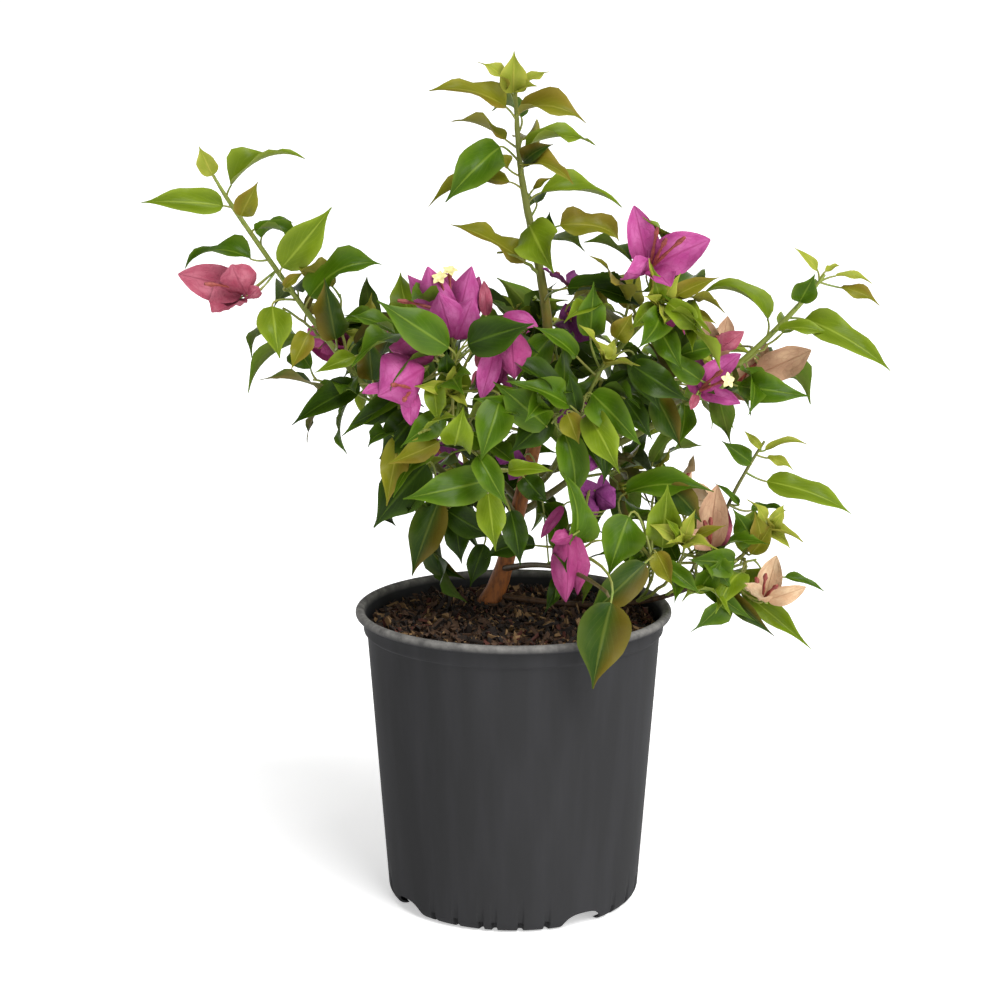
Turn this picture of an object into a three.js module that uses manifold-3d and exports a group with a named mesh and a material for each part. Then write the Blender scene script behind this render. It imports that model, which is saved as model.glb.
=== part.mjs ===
// A young bougainvillea bush in its nursery pot, in millimetres, +Z up.
// The origin is the centre of the pot's flat underside. The plant faces -Y.
//
// The trunk runs whole from the potting mix to the tip of its leader. Boughs leave it at
// stated heights and end where they enter their last mass of foliage. Each mass is one
// closed uneven solid with the points of its outermost leaves, carved back from its
// neighbours and from the limbs that run on through it.

import * as THREE from "three";
import { mergeVertices } from "three/addons/utils/BufferGeometryUtils.js";
import Module from "manifold-3d";

const wasm = await Module();
wasm.setup();

// ---- Driving dimensions ------------------------------------------------------------

const POT_HEIGHT = 155;
const POT_RIM_RADIUS = 82.5;
const POT_FOOT_RADIUS = 66; // where the wall would meet the ground
const POT_NECK_RADIUS = 76.6; // top of the tapered wall, under the collar
const POT_WALL = 1.6;
const POT_FLOOR = 2.4;
const POT_CORNER = 5.5; // rounding between the wall and the underside
const COLLAR_HEIGHT = 12.5; // from the collar's lower edge to the top of the rim
const COLLAR_STEP = 1.3; // how far the collar stands out from the wall
const RIM_HEIGHT = 5;
const POT_SIDES = 30; // a groove falls in the middle of a side

const DRAIN_ARCHES = 4;
const DRAIN_TURN = 33; // degrees from the front to the first arch, towards +X
const ARCH_HALF_WIDTH = 9.5;
const ARCH_HEIGHT = 7;
const ARCH_DEPTH = 8.2; // inwards from the foot, through the wall and the floor
const ARCH_SIDES = 10;
const GROOVES_BETWEEN_ARCHES = 6;
const GROOVE_STEP = 12; // degrees between two grooves
const GROOVE_WIDTH = 2.4;
const GROOVE_HEIGHT = 3.2;
const GROOVE_DEPTH = 3; // a notch in the corner that stays clear of the inside
const DRAIN_CUT = 11; // length of the cutter of an arch or a groove

const MIX_TOP = 148; // level of the potting mix
const MIX_EDGE_DROP = 2; // the mix is lower where it meets the wall
const MIX_EDGE_WIDTH = 9;

const GAP = 0.35; // clearance kept between neighbouring solids
const MERGE_WITHIN = 1e-3;

const TRUNK_SIDES = 7;
const TRUNK_STEPS = 18;
const TRUNK_RADIUS = 4.8; // above the flare
const TRUNK_TIP_RADIUS = 1.3;
const TRUNK_TAPER = 0.8; // power of the share of the length: below 1 it thins early
const FLARE = 2.4; // extra radius at the level of the mix
const FLARE_HEIGHT = 9;
const TRUNK_SUNK = 6; // the trunk is drawn this far down, then cut flat at the mix

const BOUGH_SIDES = 6;
const BOUGH_STEPS = 7;

const MASS_DETAIL = 2; // subdivisions of the icosahedron that a mass starts from
const MASS_FILL = 0.93; // mean share of its stated half sizes that a mass fills
const LOBES = 6;
const LOBE_HEIGHT = 0.22;
const LOBE_SHARPNESS = 5;
const LUMP = 0.08;
const LEAF_POINTS = 5; // points drawn out round the lower side of every mass
const LEAF_POINT_REACH = 1.28; // of the mass's own radius that way
const LEAF_POINT_DIP = [0.05, 0.45]; // how steeply they hang, least and most
const POINT_SHARPNESS = 16; // how narrow a drawn-out point is

// The trunk leans to +X, then its leader swings back over the pot.
const TRUNK_LINE = [
  [-12, 30, MIX_TOP],
  [5, 30, 206],
  [18.5, 30, 300],
  [6.5, 27, 356],
  [0, 25, 424],
];

// Each bough leaves the limb named in "on", or the trunk, at the share "from" of that
// limb's length. It curves to "tip" inside its last mass, with the middle of its curve
// moved off the chord by "bow".
const BOUGHS = {
  left_bough: { from: 0.16, tip: [-150, 0, 375], bow: [10, -3, -42], radii: [2.3, 1.1] },
  right_bough: { from: 0.27, tip: [158, 5, 326], bow: [9, -10, -28], radii: [2.4, 1.3] },
  upper_right_bough: { from: 0.38, tip: [72, -10, 318], bow: [2, -4, -12], radii: [2, 1.1] },
  front_left_bough: { from: 0.19, tip: [-32, -32, 290], bow: [-6, -8, -6], radii: [2, 1.1] },
  front_right_bough: { from: 0.24, tip: [36, -30, 280], bow: [4, -10, -22], radii: [2, 1.1] },
  low_right_bough: { from: 0.04, tip: [130, 0, 196], bow: [34, -22, -33], radii: [1.9, 1] },
  low_right_shoot: {
    on: "low_right_bough",
    from: 0.72,
    tip: [130, 10, 241],
    bow: [-7, 4, 0],
    radii: [1.2, 0.8],
  },
  low_front_bough: { from: 0.09, tip: [45, -90, 184], bow: [4, -8, 16], radii: [1.8, 0.9] },
  low_left_bough: { from: 0.13, tip: [-58, 2, 216], bow: [0, -4, 6], radii: [1.8, 1] },
  back_left_bough: { from: 0.22, tip: [-64, 100, 288], bow: [-2, 8, -14], radii: [2.3, 1.1] },
  back_bough: { from: 0.3, tip: [18, 118, 282], bow: [0, 10, -20], radii: [2.2, 1.1] },
  back_right_bough: { from: 0.2, tip: [92, 92, 268], bow: [4, 8, -16], radii: [2.2, 1.1] },
  back_low_bough: { from: 0.1, tip: [-14, 100, 206], bow: [0, 4, 4], radii: [1.8, 1] },
};

// Masses of foliage. Each sits on the limb "on" at the share "at" of its length, moved by
// "off", with half sizes "half" along X, Y and Z. "far" lists leaves that stand out from
// the crown, as the places of their points. An earlier mass carves the later ones.
const MASSES = {
  leader_top_leaves: {
    on: "trunk",
    at: 0.97,
    off: [0, 0, -1],
    half: [30, 29, 16],
    far: [[-45, 25, 416], [36, 22, 401], [-1, 25, 438]],
  },
  leader_upper_leaves: {
    on: "trunk",
    at: 0.85,
    off: [0, 0, -1],
    half: [34, 32, 15],
    far: [[-43, 26, 358], [41, 22, 389], [54, 28, 357], [-35, 22, 387]],
  },
  leader_lower_leaves: {
    on: "trunk",
    at: 0.71,
    off: [0, 0, 0],
    half: [32, 31, 15],
    far: [[-33, 26, 350], [55, 26, 340]],
  },
  left_tip_leaves: {
    on: "left_bough",
    at: 1,
    off: [0, 0, -2],
    half: [27, 24, 12],
    far: [[-186, 0, 365], [-104, 0, 384]],
  },
  left_middle_leaves: {
    on: "left_bough",
    at: 0.84,
    off: [4, 0, 1],
    half: [27, 26, 16],
    far: [[-88, 0, 358], [-168, -6, 328]],
  },
  left_lower_leaves: {
    on: "left_bough",
    at: 0.66,
    off: [-4, 2, 2],
    half: [29, 26, 17],
    far: [[-64, 0, 331], [-134, -4, 290]],
  },
  right_tip_leaves: {
    on: "right_bough",
    at: 1,
    off: [-2, 0, -9],
    half: [25, 23, 13],
    far: [[192, 5, 281], [186, 5, 311]],
  },
  right_middle_leaves: {
    on: "right_bough",
    at: 0.76,
    off: [-2, 2, 2],
    half: [28, 27, 17],
    far: [[90, 0, 313], [148, 0, 262]],
  },
  low_right_shoot_leaves: {
    on: "low_right_shoot",
    at: 1,
    off: [2, 0, -10],
    half: [21, 21, 11],
    far: [[175, 8, 202]],
  },
  low_right_end_leaves: {
    on: "low_right_bough",
    at: 1,
    off: [-5, -2, -12],
    half: [26, 26, 18],
    far: [[154, -10, 136]],
  },
  low_right_leaves: {
    on: "low_right_bough",
    at: 0.6,
    off: [2, -5, 37],
    half: [31, 30, 21],
    far: [[60, -56, 178]],
  },
  hanging_leaves: {
    on: "low_front_bough",
    at: 1,
    off: [2, -2, -14],
    half: [13, 7, 20],
    far: [[37, -94, 134]],
  },
  left_shoulder_leaves: {
    on: "left_bough",
    at: 0.46,
    off: [-16, 2, 2],
    half: [29, 28, 17],
    far: [[-116, 0, 252]],
  },
  front_left_leaves: {
    on: "front_left_bough",
    at: 1,
    off: [-4, 14, 8],
    half: [38, 35, 25],
    far: [[-40, -2, 325], [-76, -14, 306]],
  },
  front_centre_leaves: {
    on: "front_left_bough",
    at: 0.68,
    off: [-16, -14, -6],
    half: [34, 32, 24],
    far: [[-30, -74, 238]],
  },
  low_left_leaves: {
    on: "low_left_bough",
    at: 1,
    off: [12, 4, -9],
    half: [31, 31, 24],
    far: [[-57, -6, 171], [-76, 0, 198]],
  },
  upper_right_leaves: {
    on: "upper_right_bough",
    at: 1,
    off: [-3, 2, -14],
    half: [36, 32, 22],
    far: [[106, -8, 318], [62, -10, 360], [100, -10, 352]],
  },
  centre_leaves: {
    on: "front_right_bough",
    at: 1,
    off: [-11, 6, -20],
    half: [32, 35, 33],
    far: [[46, -64, 240]],
  },
  right_centre_leaves: {
    on: "right_bough",
    at: 0.52,
    off: [10, 8, 2],
    half: [30, 31, 18],
    far: [[120, 4, 250]],
  },
  low_front_leaves: {
    on: "low_front_bough",
    at: 0.55,
    off: [4, 2, 10],
    half: [28, 28, 20],
    far: [[30, -56, 172]],
  },
  back_left_leaves: {
    on: "back_left_bough",
    at: 1,
    off: [2, -10, -8],
    half: [38, 35, 30],
    far: [[-106, 92, 272]],
  },
  back_leaves: {
    on: "back_bough",
    at: 1,
    off: [-2, -6, -6],
    half: [36, 33, 32],
    far: [[18, 154, 262]],
  },
  back_right_leaves: {
    on: "back_right_bough",
    at: 1,
    off: [-6, -8, -6],
    half: [37, 34, 29],
    far: [[132, 84, 254]],
  },
  back_low_leaves: {
    on: "back_low_bough",
    at: 1,
    off: [2, -6, 2],
    half: [38, 31, 24],
    far: [[-30, 126, 178]],
  },
  back_low_right_leaves: {
    on: "back_right_bough",
    at: 0.62,
    off: [4, 2, -28],
    half: [31, 30, 22],
    far: [[102, 72, 198]],
  },
  inner_leaves: {
    on: "trunk",
    at: 0.42,
    off: [-1, 4, 2],
    half: [25, 25, 28],
    far: [],
  },
};

// ---- Finishes ----------------------------------------------------------------------

function finish(color, roughness) {
  return new THREE.MeshStandardMaterial({ color, roughness, metalness: 0 });
}

const FINISHES = {
  pot: finish(0x454545, 0.5),
  mix: finish(0x2e2014, 0.95),
  bark: finish(0x6d4a22, 0.8),
  greenWood: finish(0x8a8a35, 0.6),
  leaves: finish(0x4a7314, 0.45),
  youngLeaves: finish(0x93982b, 0.45),
};

// ---- From three.js geometry to solids and back -------------------------------------

function pointsOnly(geometry) {
  const bare = geometry.clone();
  bare.deleteAttribute("normal");
  bare.deleteAttribute("uv");
  return mergeVertices(bare, MERGE_WITHIN);
}

function toSolid(geometry) {
  const merged = pointsOnly(geometry);
  return new wasm.Manifold(
    new wasm.Mesh({
      numProp: 3,
      vertProperties: merged.attributes.position.array,
      triVerts: new Uint32Array(merged.index.array),
    }),
  );
}

function toGeometry(solid) {
  const mesh = solid.getMesh();
  const geometry = new THREE.BufferGeometry();
  geometry.setAttribute("position", new THREE.BufferAttribute(mesh.vertProperties, 3));
  geometry.setIndex(new THREE.BufferAttribute(mesh.triVerts, 1));
  geometry.computeVertexNormals();
  return geometry;
}

// Carving can leave a crumb beside the body. Only the body is kept.
function largestPiece(solid) {
  const pieces = solid.decompose();
  return pieces.reduce((a, b) => (a.volume() > b.volume() ? a : b));
}

function makeRandom(seed) {
  let state = seed >>> 0;
  return () => {
    state = (state + 0x6d2b79f5) >>> 0;
    let t = Math.imul(state ^ (state >>> 15), state | 1);
    t ^= t + Math.imul(t ^ (t >>> 7), t | 61);
    return ((t ^ (t >>> 14)) >>> 0) / 4294967296;
  };
}

// ---- Pot and potting mix -----------------------------------------------------------

function wallRadius(z) {
  const neck = POT_HEIGHT - COLLAR_HEIGHT;
  return POT_FOOT_RADIUS + ((POT_NECK_RADIUS - POT_FOOT_RADIUS) * z) / neck;
}

function turned(profile) {
  const points = profile.map(([r, z]) => new THREE.Vector2(r, z));
  return new THREE.LatheGeometry(points, POT_SIDES, Math.PI / POT_SIDES).rotateX(Math.PI / 2);
}

function potShell() {
  const neck = POT_HEIGHT - COLLAR_HEIGHT;
  const underRim = POT_HEIGHT - RIM_HEIGHT;
  const collar = POT_NECK_RADIUS + COLLAR_STEP;
  return turned([
    [0, 0],
    [POT_FOOT_RADIUS - POT_CORNER, 0],
    [POT_FOOT_RADIUS - 0.3 * POT_CORNER, 0.3 * POT_CORNER],
    [wallRadius(POT_CORNER), POT_CORNER],
    [POT_NECK_RADIUS, neck],
    [collar, neck + COLLAR_STEP],
    [collar + 0.4, underRim],
    [POT_RIM_RADIUS, underRim + 0.4 * RIM_HEIGHT],
    [POT_RIM_RADIUS - 1.5, POT_HEIGHT],
    [POT_RIM_RADIUS - 3.5, POT_HEIGHT],
    [collar - POT_WALL, underRim],
    [POT_NECK_RADIUS - POT_WALL, neck - COLLAR_STEP],
    [wallRadius(POT_CORNER) - POT_WALL, POT_CORNER],
    [POT_FOOT_RADIUS - POT_CORNER, POT_FLOOR],
    [0, POT_FLOOR],
  ]);
}

// A cutter lying along +X, set to reach a depth into the foot, turned to an angle.
function atFoot(geometry, depth, degrees) {
  const middle = POT_FOOT_RADIUS - depth + DRAIN_CUT / 2;
  const turn = THREE.MathUtils.degToRad(degrees - 90);
  return toSolid(geometry.translate(middle, 0, 0).rotateZ(turn));
}

function archCutter() {
  const round = new THREE.CylinderGeometry(ARCH_HALF_WIDTH, ARCH_HALF_WIDTH, DRAIN_CUT, ARCH_SIDES);
  return round.rotateZ(Math.PI / 2).scale(1, 1, ARCH_HEIGHT / ARCH_HALF_WIDTH);
}

function drainCutters() {
  const cutters = [];
  const sector = 360 / DRAIN_ARCHES;
  const firstGroove = (sector - (GROOVES_BETWEEN_ARCHES - 1) * GROOVE_STEP) / 2;
  for (let arch = 0; arch < DRAIN_ARCHES; arch++) {
    const angle = DRAIN_TURN + arch * sector;
    cutters.push(atFoot(archCutter(), ARCH_DEPTH, angle));
    for (let k = 0; k < GROOVES_BETWEEN_ARCHES; k++) {
      const groove = new THREE.BoxGeometry(DRAIN_CUT, GROOVE_WIDTH, 2 * GROOVE_HEIGHT);
      cutters.push(atFoot(groove, GROOVE_DEPTH, angle + firstGroove + k * GROOVE_STEP));
    }
  }
  return cutters;
}

function potSolid() {
  return drainCutters().reduce((pot, cutter) => pot.subtract(cutter), toSolid(potShell()));
}

function mixSolid() {
  const inner = (z) => wallRadius(z) - POT_WALL - 2 * GAP;
  const edge = MIX_TOP - MIX_EDGE_DROP;
  const floor = POT_FLOOR + GAP;
  return toSolid(
    turned([
      [0, floor],
      [POT_FOOT_RADIUS - POT_CORNER - GAP, floor],
      [inner(POT_CORNER + 2), POT_CORNER + 2],
      [inner(POT_HEIGHT - COLLAR_HEIGHT - 2 * COLLAR_STEP), POT_HEIGHT - COLLAR_HEIGHT - 2 * COLLAR_STEP],
      [inner(edge), edge],
      [inner(edge) - MIX_EDGE_WIDTH, MIX_TOP],
      [0, MIX_TOP],
    ]),
  );
}

// ---- Trunk and boughs --------------------------------------------------------------

// A round limb along a curve: a cylinder whose rings of vertices are moved onto it.
function limbGeometry(curve, radiusAt, sides, steps) {
  const limb = new THREE.CylinderGeometry(1, 1, 1, sides, steps);
  const { normals, binormals } = curve.computeFrenetFrames(steps, false);
  const { position } = limb.attributes;
  const local = new THREE.Vector3();
  for (let i = 0; i < position.count; i++) {
    local.fromBufferAttribute(position, i);
    const step = Math.round((local.y + 0.5) * steps);
    const radius = radiusAt(step / steps);
    const place = curve.getPointAt(step / steps);
    place.addScaledVector(normals[step], radius * local.x);
    place.addScaledVector(binormals[step], -radius * local.z);
    position.setXYZ(i, place.x, place.y, place.z);
  }
  return limb;
}

function trunkCurve() {
  const line = TRUNK_LINE.map((p) => new THREE.Vector3(...p));
  const down = line[0].clone().sub(line[1]).setLength(TRUNK_SUNK);
  return new THREE.CatmullRomCurve3([line[0].clone().add(down), ...line], false, "centripetal");
}

function trunkRadius(curve) {
  const length = curve.getLength();
  return (share) => {
    const above = Math.max(0, share * length - TRUNK_SUNK);
    const taper = THREE.MathUtils.lerp(TRUNK_RADIUS, TRUNK_TIP_RADIUS, share ** TRUNK_TAPER);
    return taper + FLARE * Math.exp(-above / FLARE_HEIGHT);
  };
}

function boughCurve(bough, parent) {
  const foot = parent.getPointAt(bough.from);
  const tip = new THREE.Vector3(...bough.tip);
  const middle = foot.clone().add(tip).multiplyScalar(0.5).add(new THREE.Vector3(...bough.bow));
  return new THREE.QuadraticBezierCurve3(foot, middle, tip);
}

// ---- Foliage -----------------------------------------------------------------------

// How strongly the nearest of the drawn-out points pulls a vertex, 0 to 1.
function pull(way, points) {
  let best = { strength: 0, length: 0 };
  for (const point of points) {
    const strength = Math.exp(POINT_SHARPNESS * (point.way.dot(way) - 1));
    if (strength > best.strength) {
      best = { strength, length: point.length };
    }
  }
  return best;
}

// A sphere of faces stretched to the half sizes, with seeded lobes, lumps and leaf points.
// The vertex nearest to each far leaf is drawn right out to its point.
function massGeometry({ half, far }, centre, seed, grow) {
  const random = makeRandom(seed);
  const shape = pointsOnly(new THREE.IcosahedronGeometry(1, MASS_DETAIL));
  const { position } = shape.attributes;
  const extent = (way) => 1 / Math.hypot(way.x / half[0], way.y / half[1], way.z / half[2]);
  const lobes = Array.from({ length: LOBES }, () =>
    new THREE.Vector3(random() - 0.5, random() - 0.5, random() - 0.5).normalize(),
  );
  const points = Array.from({ length: LEAF_POINTS }, (_, k) => {
    const turn = ((k + 0.6 * random()) / LEAF_POINTS) * 2 * Math.PI;
    const dip = THREE.MathUtils.lerp(...LEAF_POINT_DIP, random());
    const way = new THREE.Vector3(Math.cos(turn), Math.sin(turn), -dip).normalize();
    return { way, length: LEAF_POINT_REACH * extent(way) };
  });
  const reaches = far.map((tip) => new THREE.Vector3(...tip).sub(centre));
  points.push(...reaches.map((reach) => ({ way: reach.clone().normalize(), length: reach.length() })));

  const ways = [];
  const places = [];
  for (let i = 0; i < position.count; i++) {
    const way = new THREE.Vector3().fromBufferAttribute(position, i).normalize();
    const lobe = Math.max(...lobes.map((l) => Math.exp(LOBE_SHARPNESS * (l.dot(way) - 1))));
    const share = MASS_FILL - LOBE_HEIGHT / 2 + LOBE_HEIGHT * lobe + LUMP * (random() - 0.5);
    const { strength, length } = pull(way, points);
    ways.push(way);
    places.push(way.clone().multiplyScalar(THREE.MathUtils.lerp(share * extent(way), length, strength)));
  }
  for (const reach of reaches) {
    const way = reach.clone().normalize();
    const nearest = ways.reduce((best, w, i) => (w.dot(way) > ways[best].dot(way) ? i : best), 0);
    places[nearest].copy(reach);
  }
  places.forEach((place, i) => {
    place.addScaledVector(ways[i], grow).add(centre);
    position.setXYZ(i, place.x, place.y, place.z);
  });
  return shape;
}

// ---- Assembly ----------------------------------------------------------------------

const plant = new THREE.Group();
const cutters = []; // placed solids, grown by the gap, that later solids are cut back from

function place(name, solid, grown, material) {
  const carved = cutters.reduce((left, cutter) => left.subtract(cutter), solid);
  const mesh = new THREE.Mesh(toGeometry(largestPiece(carved)), material);
  mesh.name = name;
  plant.add(mesh);
  cutters.push(grown);
}

function groundBlock() {
  const size = 4 * POT_RIM_RADIUS;
  const top = MIX_TOP + GAP;
  return toSolid(new THREE.BoxGeometry(size, size, size).translate(0, 0, top - size / 2));
}

const wall = toSolid(potShell());
place("pot", potSolid(), wall, FINISHES.pot);
place("potting_mix", mixSolid(), mixSolid(), FINISHES.mix);

const limbs = { trunk: trunkCurve() };
for (const [name, bough] of Object.entries(BOUGHS)) {
  limbs[name] = boughCurve(bough, limbs[bough.on ?? "trunk"]);
}

const masses = Object.entries(MASSES).map(([name, mass], i) => {
  const centre = limbs[mass.on].getPointAt(mass.at).add(new THREE.Vector3(...mass.off));
  return {
    name,
    endOf: mass.at === 1 ? mass.on : null,
    solid: toSolid(massGeometry(mass, centre, i + 1, 0)),
    grown: toSolid(massGeometry(mass, centre, i + 1, GAP)),
  };
});

const trunkWidth = trunkRadius(limbs.trunk);
const trunkSolid = (extra) =>
  toSolid(limbGeometry(limbs.trunk, (t) => trunkWidth(t) + extra, TRUNK_SIDES, TRUNK_STEPS));
place("trunk", trunkSolid(0).subtract(groundBlock()), trunkSolid(GAP), FINISHES.bark);

// A bough ends where it enters the mass on its tip.
for (const [name, { radii }] of Object.entries(BOUGHS)) {
  const width = (extra) => (share) => THREE.MathUtils.lerp(...radii, share) + extra;
  const bough = (extra) =>
    toSolid(limbGeometry(limbs[name], width(extra), BOUGH_SIDES, BOUGH_STEPS));
  const last = masses.find((mass) => mass.endOf === name);
  const grown = largestPiece(bough(GAP).subtract(last.solid));
  place(name, bough(0).subtract(last.grown), grown, FINISHES.greenWood);
}

for (const { name, solid, grown } of masses) {
  const young = name.includes("_top_") || name.includes("_tip_");
  place(name, solid, grown, young ? FINISHES.youngLeaves : FINISHES.leaves);
}

export default plant;
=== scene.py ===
# A young bougainvillea in its black nursery pot: a moulded plastic pot of bark mix, a leaning
# trunk with green boughs, and shoots of glossy leaves and papery bracts grown on from them.
# Lengths are in metres, +Z is up, and the plant faces -Y.

import math

import bmesh
import bpy
import numpy as np
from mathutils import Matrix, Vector, noise


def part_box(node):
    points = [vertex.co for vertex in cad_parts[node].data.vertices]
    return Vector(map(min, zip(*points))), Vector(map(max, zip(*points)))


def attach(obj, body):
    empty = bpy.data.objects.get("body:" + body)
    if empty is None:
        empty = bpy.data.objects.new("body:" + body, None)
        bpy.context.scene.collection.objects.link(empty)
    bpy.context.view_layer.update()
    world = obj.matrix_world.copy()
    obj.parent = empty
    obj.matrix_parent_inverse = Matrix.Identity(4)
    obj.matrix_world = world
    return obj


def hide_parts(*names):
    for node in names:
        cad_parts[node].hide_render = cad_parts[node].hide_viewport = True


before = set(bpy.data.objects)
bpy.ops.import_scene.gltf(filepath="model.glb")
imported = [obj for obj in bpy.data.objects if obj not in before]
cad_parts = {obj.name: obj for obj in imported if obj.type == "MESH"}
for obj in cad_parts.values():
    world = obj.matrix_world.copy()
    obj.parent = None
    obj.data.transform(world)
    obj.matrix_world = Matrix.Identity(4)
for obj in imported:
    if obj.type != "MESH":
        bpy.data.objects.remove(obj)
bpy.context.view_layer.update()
mm = 0.001

# ---------------------------------------------------------------------------------------
# Camera. It stands a little over a metre in front of the plant, above the crown, and looks
# down at the pot.

CAMERA_PLACE = (-7 * mm, -1220 * mm, 468 * mm)
LOOK_DOWN = 11.9  # degrees below level
LENS, SENSOR = 87.1, 36  # millimetres, as the camera takes them
camera_data = bpy.data.cameras.new("camera")
camera_data.lens = LENS
camera_data.sensor_width = SENSOR
camera = bpy.data.objects.new("camera", camera_data)
camera.location = CAMERA_PLACE
camera.rotation_euler = (math.radians(90 - LOOK_DOWN), 0, 0)
bpy.context.scene.collection.objects.link(camera)
bpy.context.scene.camera = camera
bpy.context.scene.view_settings.view_transform = "Standard"

# ---------------------------------------------------------------------------------------
# Studio. One large, distant lamp stands high at the front right, with a tall softbox on the
# floor below it. The room is white down to the floor and dimmer overhead, and the floor is
# backlit white acrylic.

HORIZON_WHITE, CEILING_WHITE, LEFT_WHITE = 1.06, 0.5, 0.05
FLOOR_GLOW = 0.46
FLOOR_RADIUS = 60
LAMP_STRENGTH, LAMP_SPREAD = 2.4, 34  # the spread in degrees
LAMP_WAY = (-0.52, 0.7, -1.15)
SOFTBOX_WIDTH, SOFTBOX_HEIGHT, SOFTBOX_WATTS = 0.5, 1.1, 8
SOFTBOX_PLACE, SOFTBOX_WAY = (1.15, -1.15, 0.56), (-1.15, 1.15, -0.35)

lamp_data = bpy.data.lights.new("key_lamp", "SUN")
lamp_data.energy = LAMP_STRENGTH
lamp_data.angle = math.radians(LAMP_SPREAD)
lamp = bpy.data.objects.new("key_lamp", lamp_data)
lamp.rotation_euler = Vector(LAMP_WAY).to_track_quat("-Z", "Y").to_euler()
bpy.context.scene.collection.objects.link(lamp)
box_data = bpy.data.lights.new("floor_softbox", "AREA")
box_data.shape = "RECTANGLE"
box_data.size, box_data.size_y = SOFTBOX_WIDTH, SOFTBOX_HEIGHT
box_data.energy = SOFTBOX_WATTS
softbox = bpy.data.objects.new("floor_softbox", box_data)
softbox.location = SOFTBOX_PLACE
softbox.rotation_euler = Vector(SOFTBOX_WAY).to_track_quat("-Z", "Y").to_euler()
bpy.context.scene.collection.objects.link(softbox)


def paint(code):
    """The linear colour of an sRGB hex code."""
    parts = [int(code[i : i + 2], 16) / 255 for i in (1, 3, 5)]
    linear = [p / 12.92 if p <= 0.04045 else ((p + 0.055) / 1.055) ** 2.4 for p in parts]
    return (*linear, 1.0)


def add(tree, kind, inputs=None, **settings):
    """Adds a shader node, gives it its settings, and sets or links its inputs."""
    node = tree.nodes.new("ShaderNode" + kind)
    for name, value in settings.items():
        setattr(node, name, value)
    for name, value in (inputs or {}).items():
        if isinstance(value, bpy.types.NodeSocket):
            tree.links.new(value, node.inputs[name])
        else:
            node.inputs[name].default_value = value
    return node


room = bpy.data.worlds.new("white_room")
room.use_nodes = True
tree = room.node_tree
way = add(tree, "SeparateXYZ", {"Vector": add(tree, "TexCoord").outputs["Generated"]})
to_left = add(tree, "MapRange", {"Value": way.outputs["X"], "From Min": -0.35, "From Max": -0.8})
overhead = add(
    tree,
    "MapRange",
    {"Value": to_left.outputs[0], "To Min": CEILING_WHITE, "To Max": LEFT_WHITE},
)
rise = add(tree, "MapRange", {"Value": way.outputs["Z"], "From Min": 0.1, "From Max": 0.3})
strength = add(tree, "Mix", {0: rise.outputs[0], 2: HORIZON_WHITE, 3: overhead.outputs[0]})
tree.links.new(strength.outputs[0], tree.nodes["Background"].inputs["Strength"])
tree.nodes["Background"].inputs["Color"].default_value = (1, 1, 1, 1)
bpy.context.scene.world = room


def surface(name, inputs):
    """A material with a bare Principled shader, and its node tree."""
    material = bpy.data.materials.new(name)
    material.use_nodes = True
    tree = material.node_tree
    tree.nodes.clear()
    shader = add(tree, "BsdfPrincipled", inputs)
    add(tree, "OutputMaterial", {"Surface": shader.outputs["BSDF"]})
    return material, tree, shader


def new_piece(name, mesh, materials):
    """Links a mesh as a piece that rides on the plant."""
    for material in materials:
        mesh.materials.append(material)
    piece = bpy.data.objects.new(name, mesh)
    bpy.context.scene.collection.objects.link(piece)
    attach(piece, "root")
    return piece


# Matt white acrylic, lit a little from below so that it stays white where it is far away.
acrylic, _, _ = surface(
    "backlit_white_acrylic",
    {
        "Base Color": paint("#fdfdfd"),
        "Roughness": 0.9,
        "Emission Color": (1, 1, 1, 1),
        "Emission Strength": FLOOR_GLOW,
    },
)
floor_mesh = bpy.data.meshes.new("floor")
bm = bmesh.new()
bmesh.ops.create_circle(bm, cap_ends=True, segments=96, radius=FLOOR_RADIUS)
bm.to_mesh(floor_mesh)
bm.free()
floor_mesh.materials.append(acrylic)
floor = bpy.data.objects.new("floor", floor_mesh)
bpy.context.scene.collection.objects.link(floor)

# ---------------------------------------------------------------------------------------
# Pot. A one gallon nursery pot of black polyethylene, injection moulded: a tapered wall, a
# collar under a rolled rim, and a foot with four arched drain openings and small notches.

_, pot_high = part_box("pot")
POT_TOP = pot_high.z
RIM_RADIUS = pot_high.y
NECK_Z = POT_TOP - 12.5 * mm  # where the collar steps out of the wall
NECK_RADIUS = RIM_RADIUS - 5.9 * mm
FOOT_RADIUS = RIM_RADIUS - 16.5 * mm
FOOT_ROUND = 5.5 * mm
WALL = 1.5 * mm
FLOOR_Z = 8.5 * mm  # the floor is raised above the drain openings
POT_STEPS = 720
ARCH_ANGLE = 33  # degrees from the front to the first drain arch
ARCH_HALF, ARCH_HEIGHT = 10.8, 7.5 * mm  # half width in degrees
ARCH_MARGIN = 14  # degrees on each side of an arch's middle that stay free of notches
NOTCH_START, NOTCH_STEP, NOTCH_HALF = 15, 12, 1.5  # degrees
NOTCH_HEIGHT, NOTCH_DEPTH = 5.8 * mm, 3.2 * mm


def wall_radius(z):
    """Outer radius of the tapered wall, rounded in at the foot."""
    radius = FOOT_RADIUS + (NECK_RADIUS - FOOT_RADIUS) * z / NECK_Z
    if z < FOOT_ROUND:
        radius -= FOOT_ROUND - math.sqrt(FOOT_ROUND**2 - (FOOT_ROUND - z) ** 2)
    return radius


def arc(centre, radius, start, end, count):
    """Points (r, z) on an arc between two angles in degrees."""
    angles = np.radians(np.linspace(start, end, count))
    return [(centre[0] + radius * math.cos(a), centre[1] + radius * math.sin(a)) for a in angles]


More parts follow.
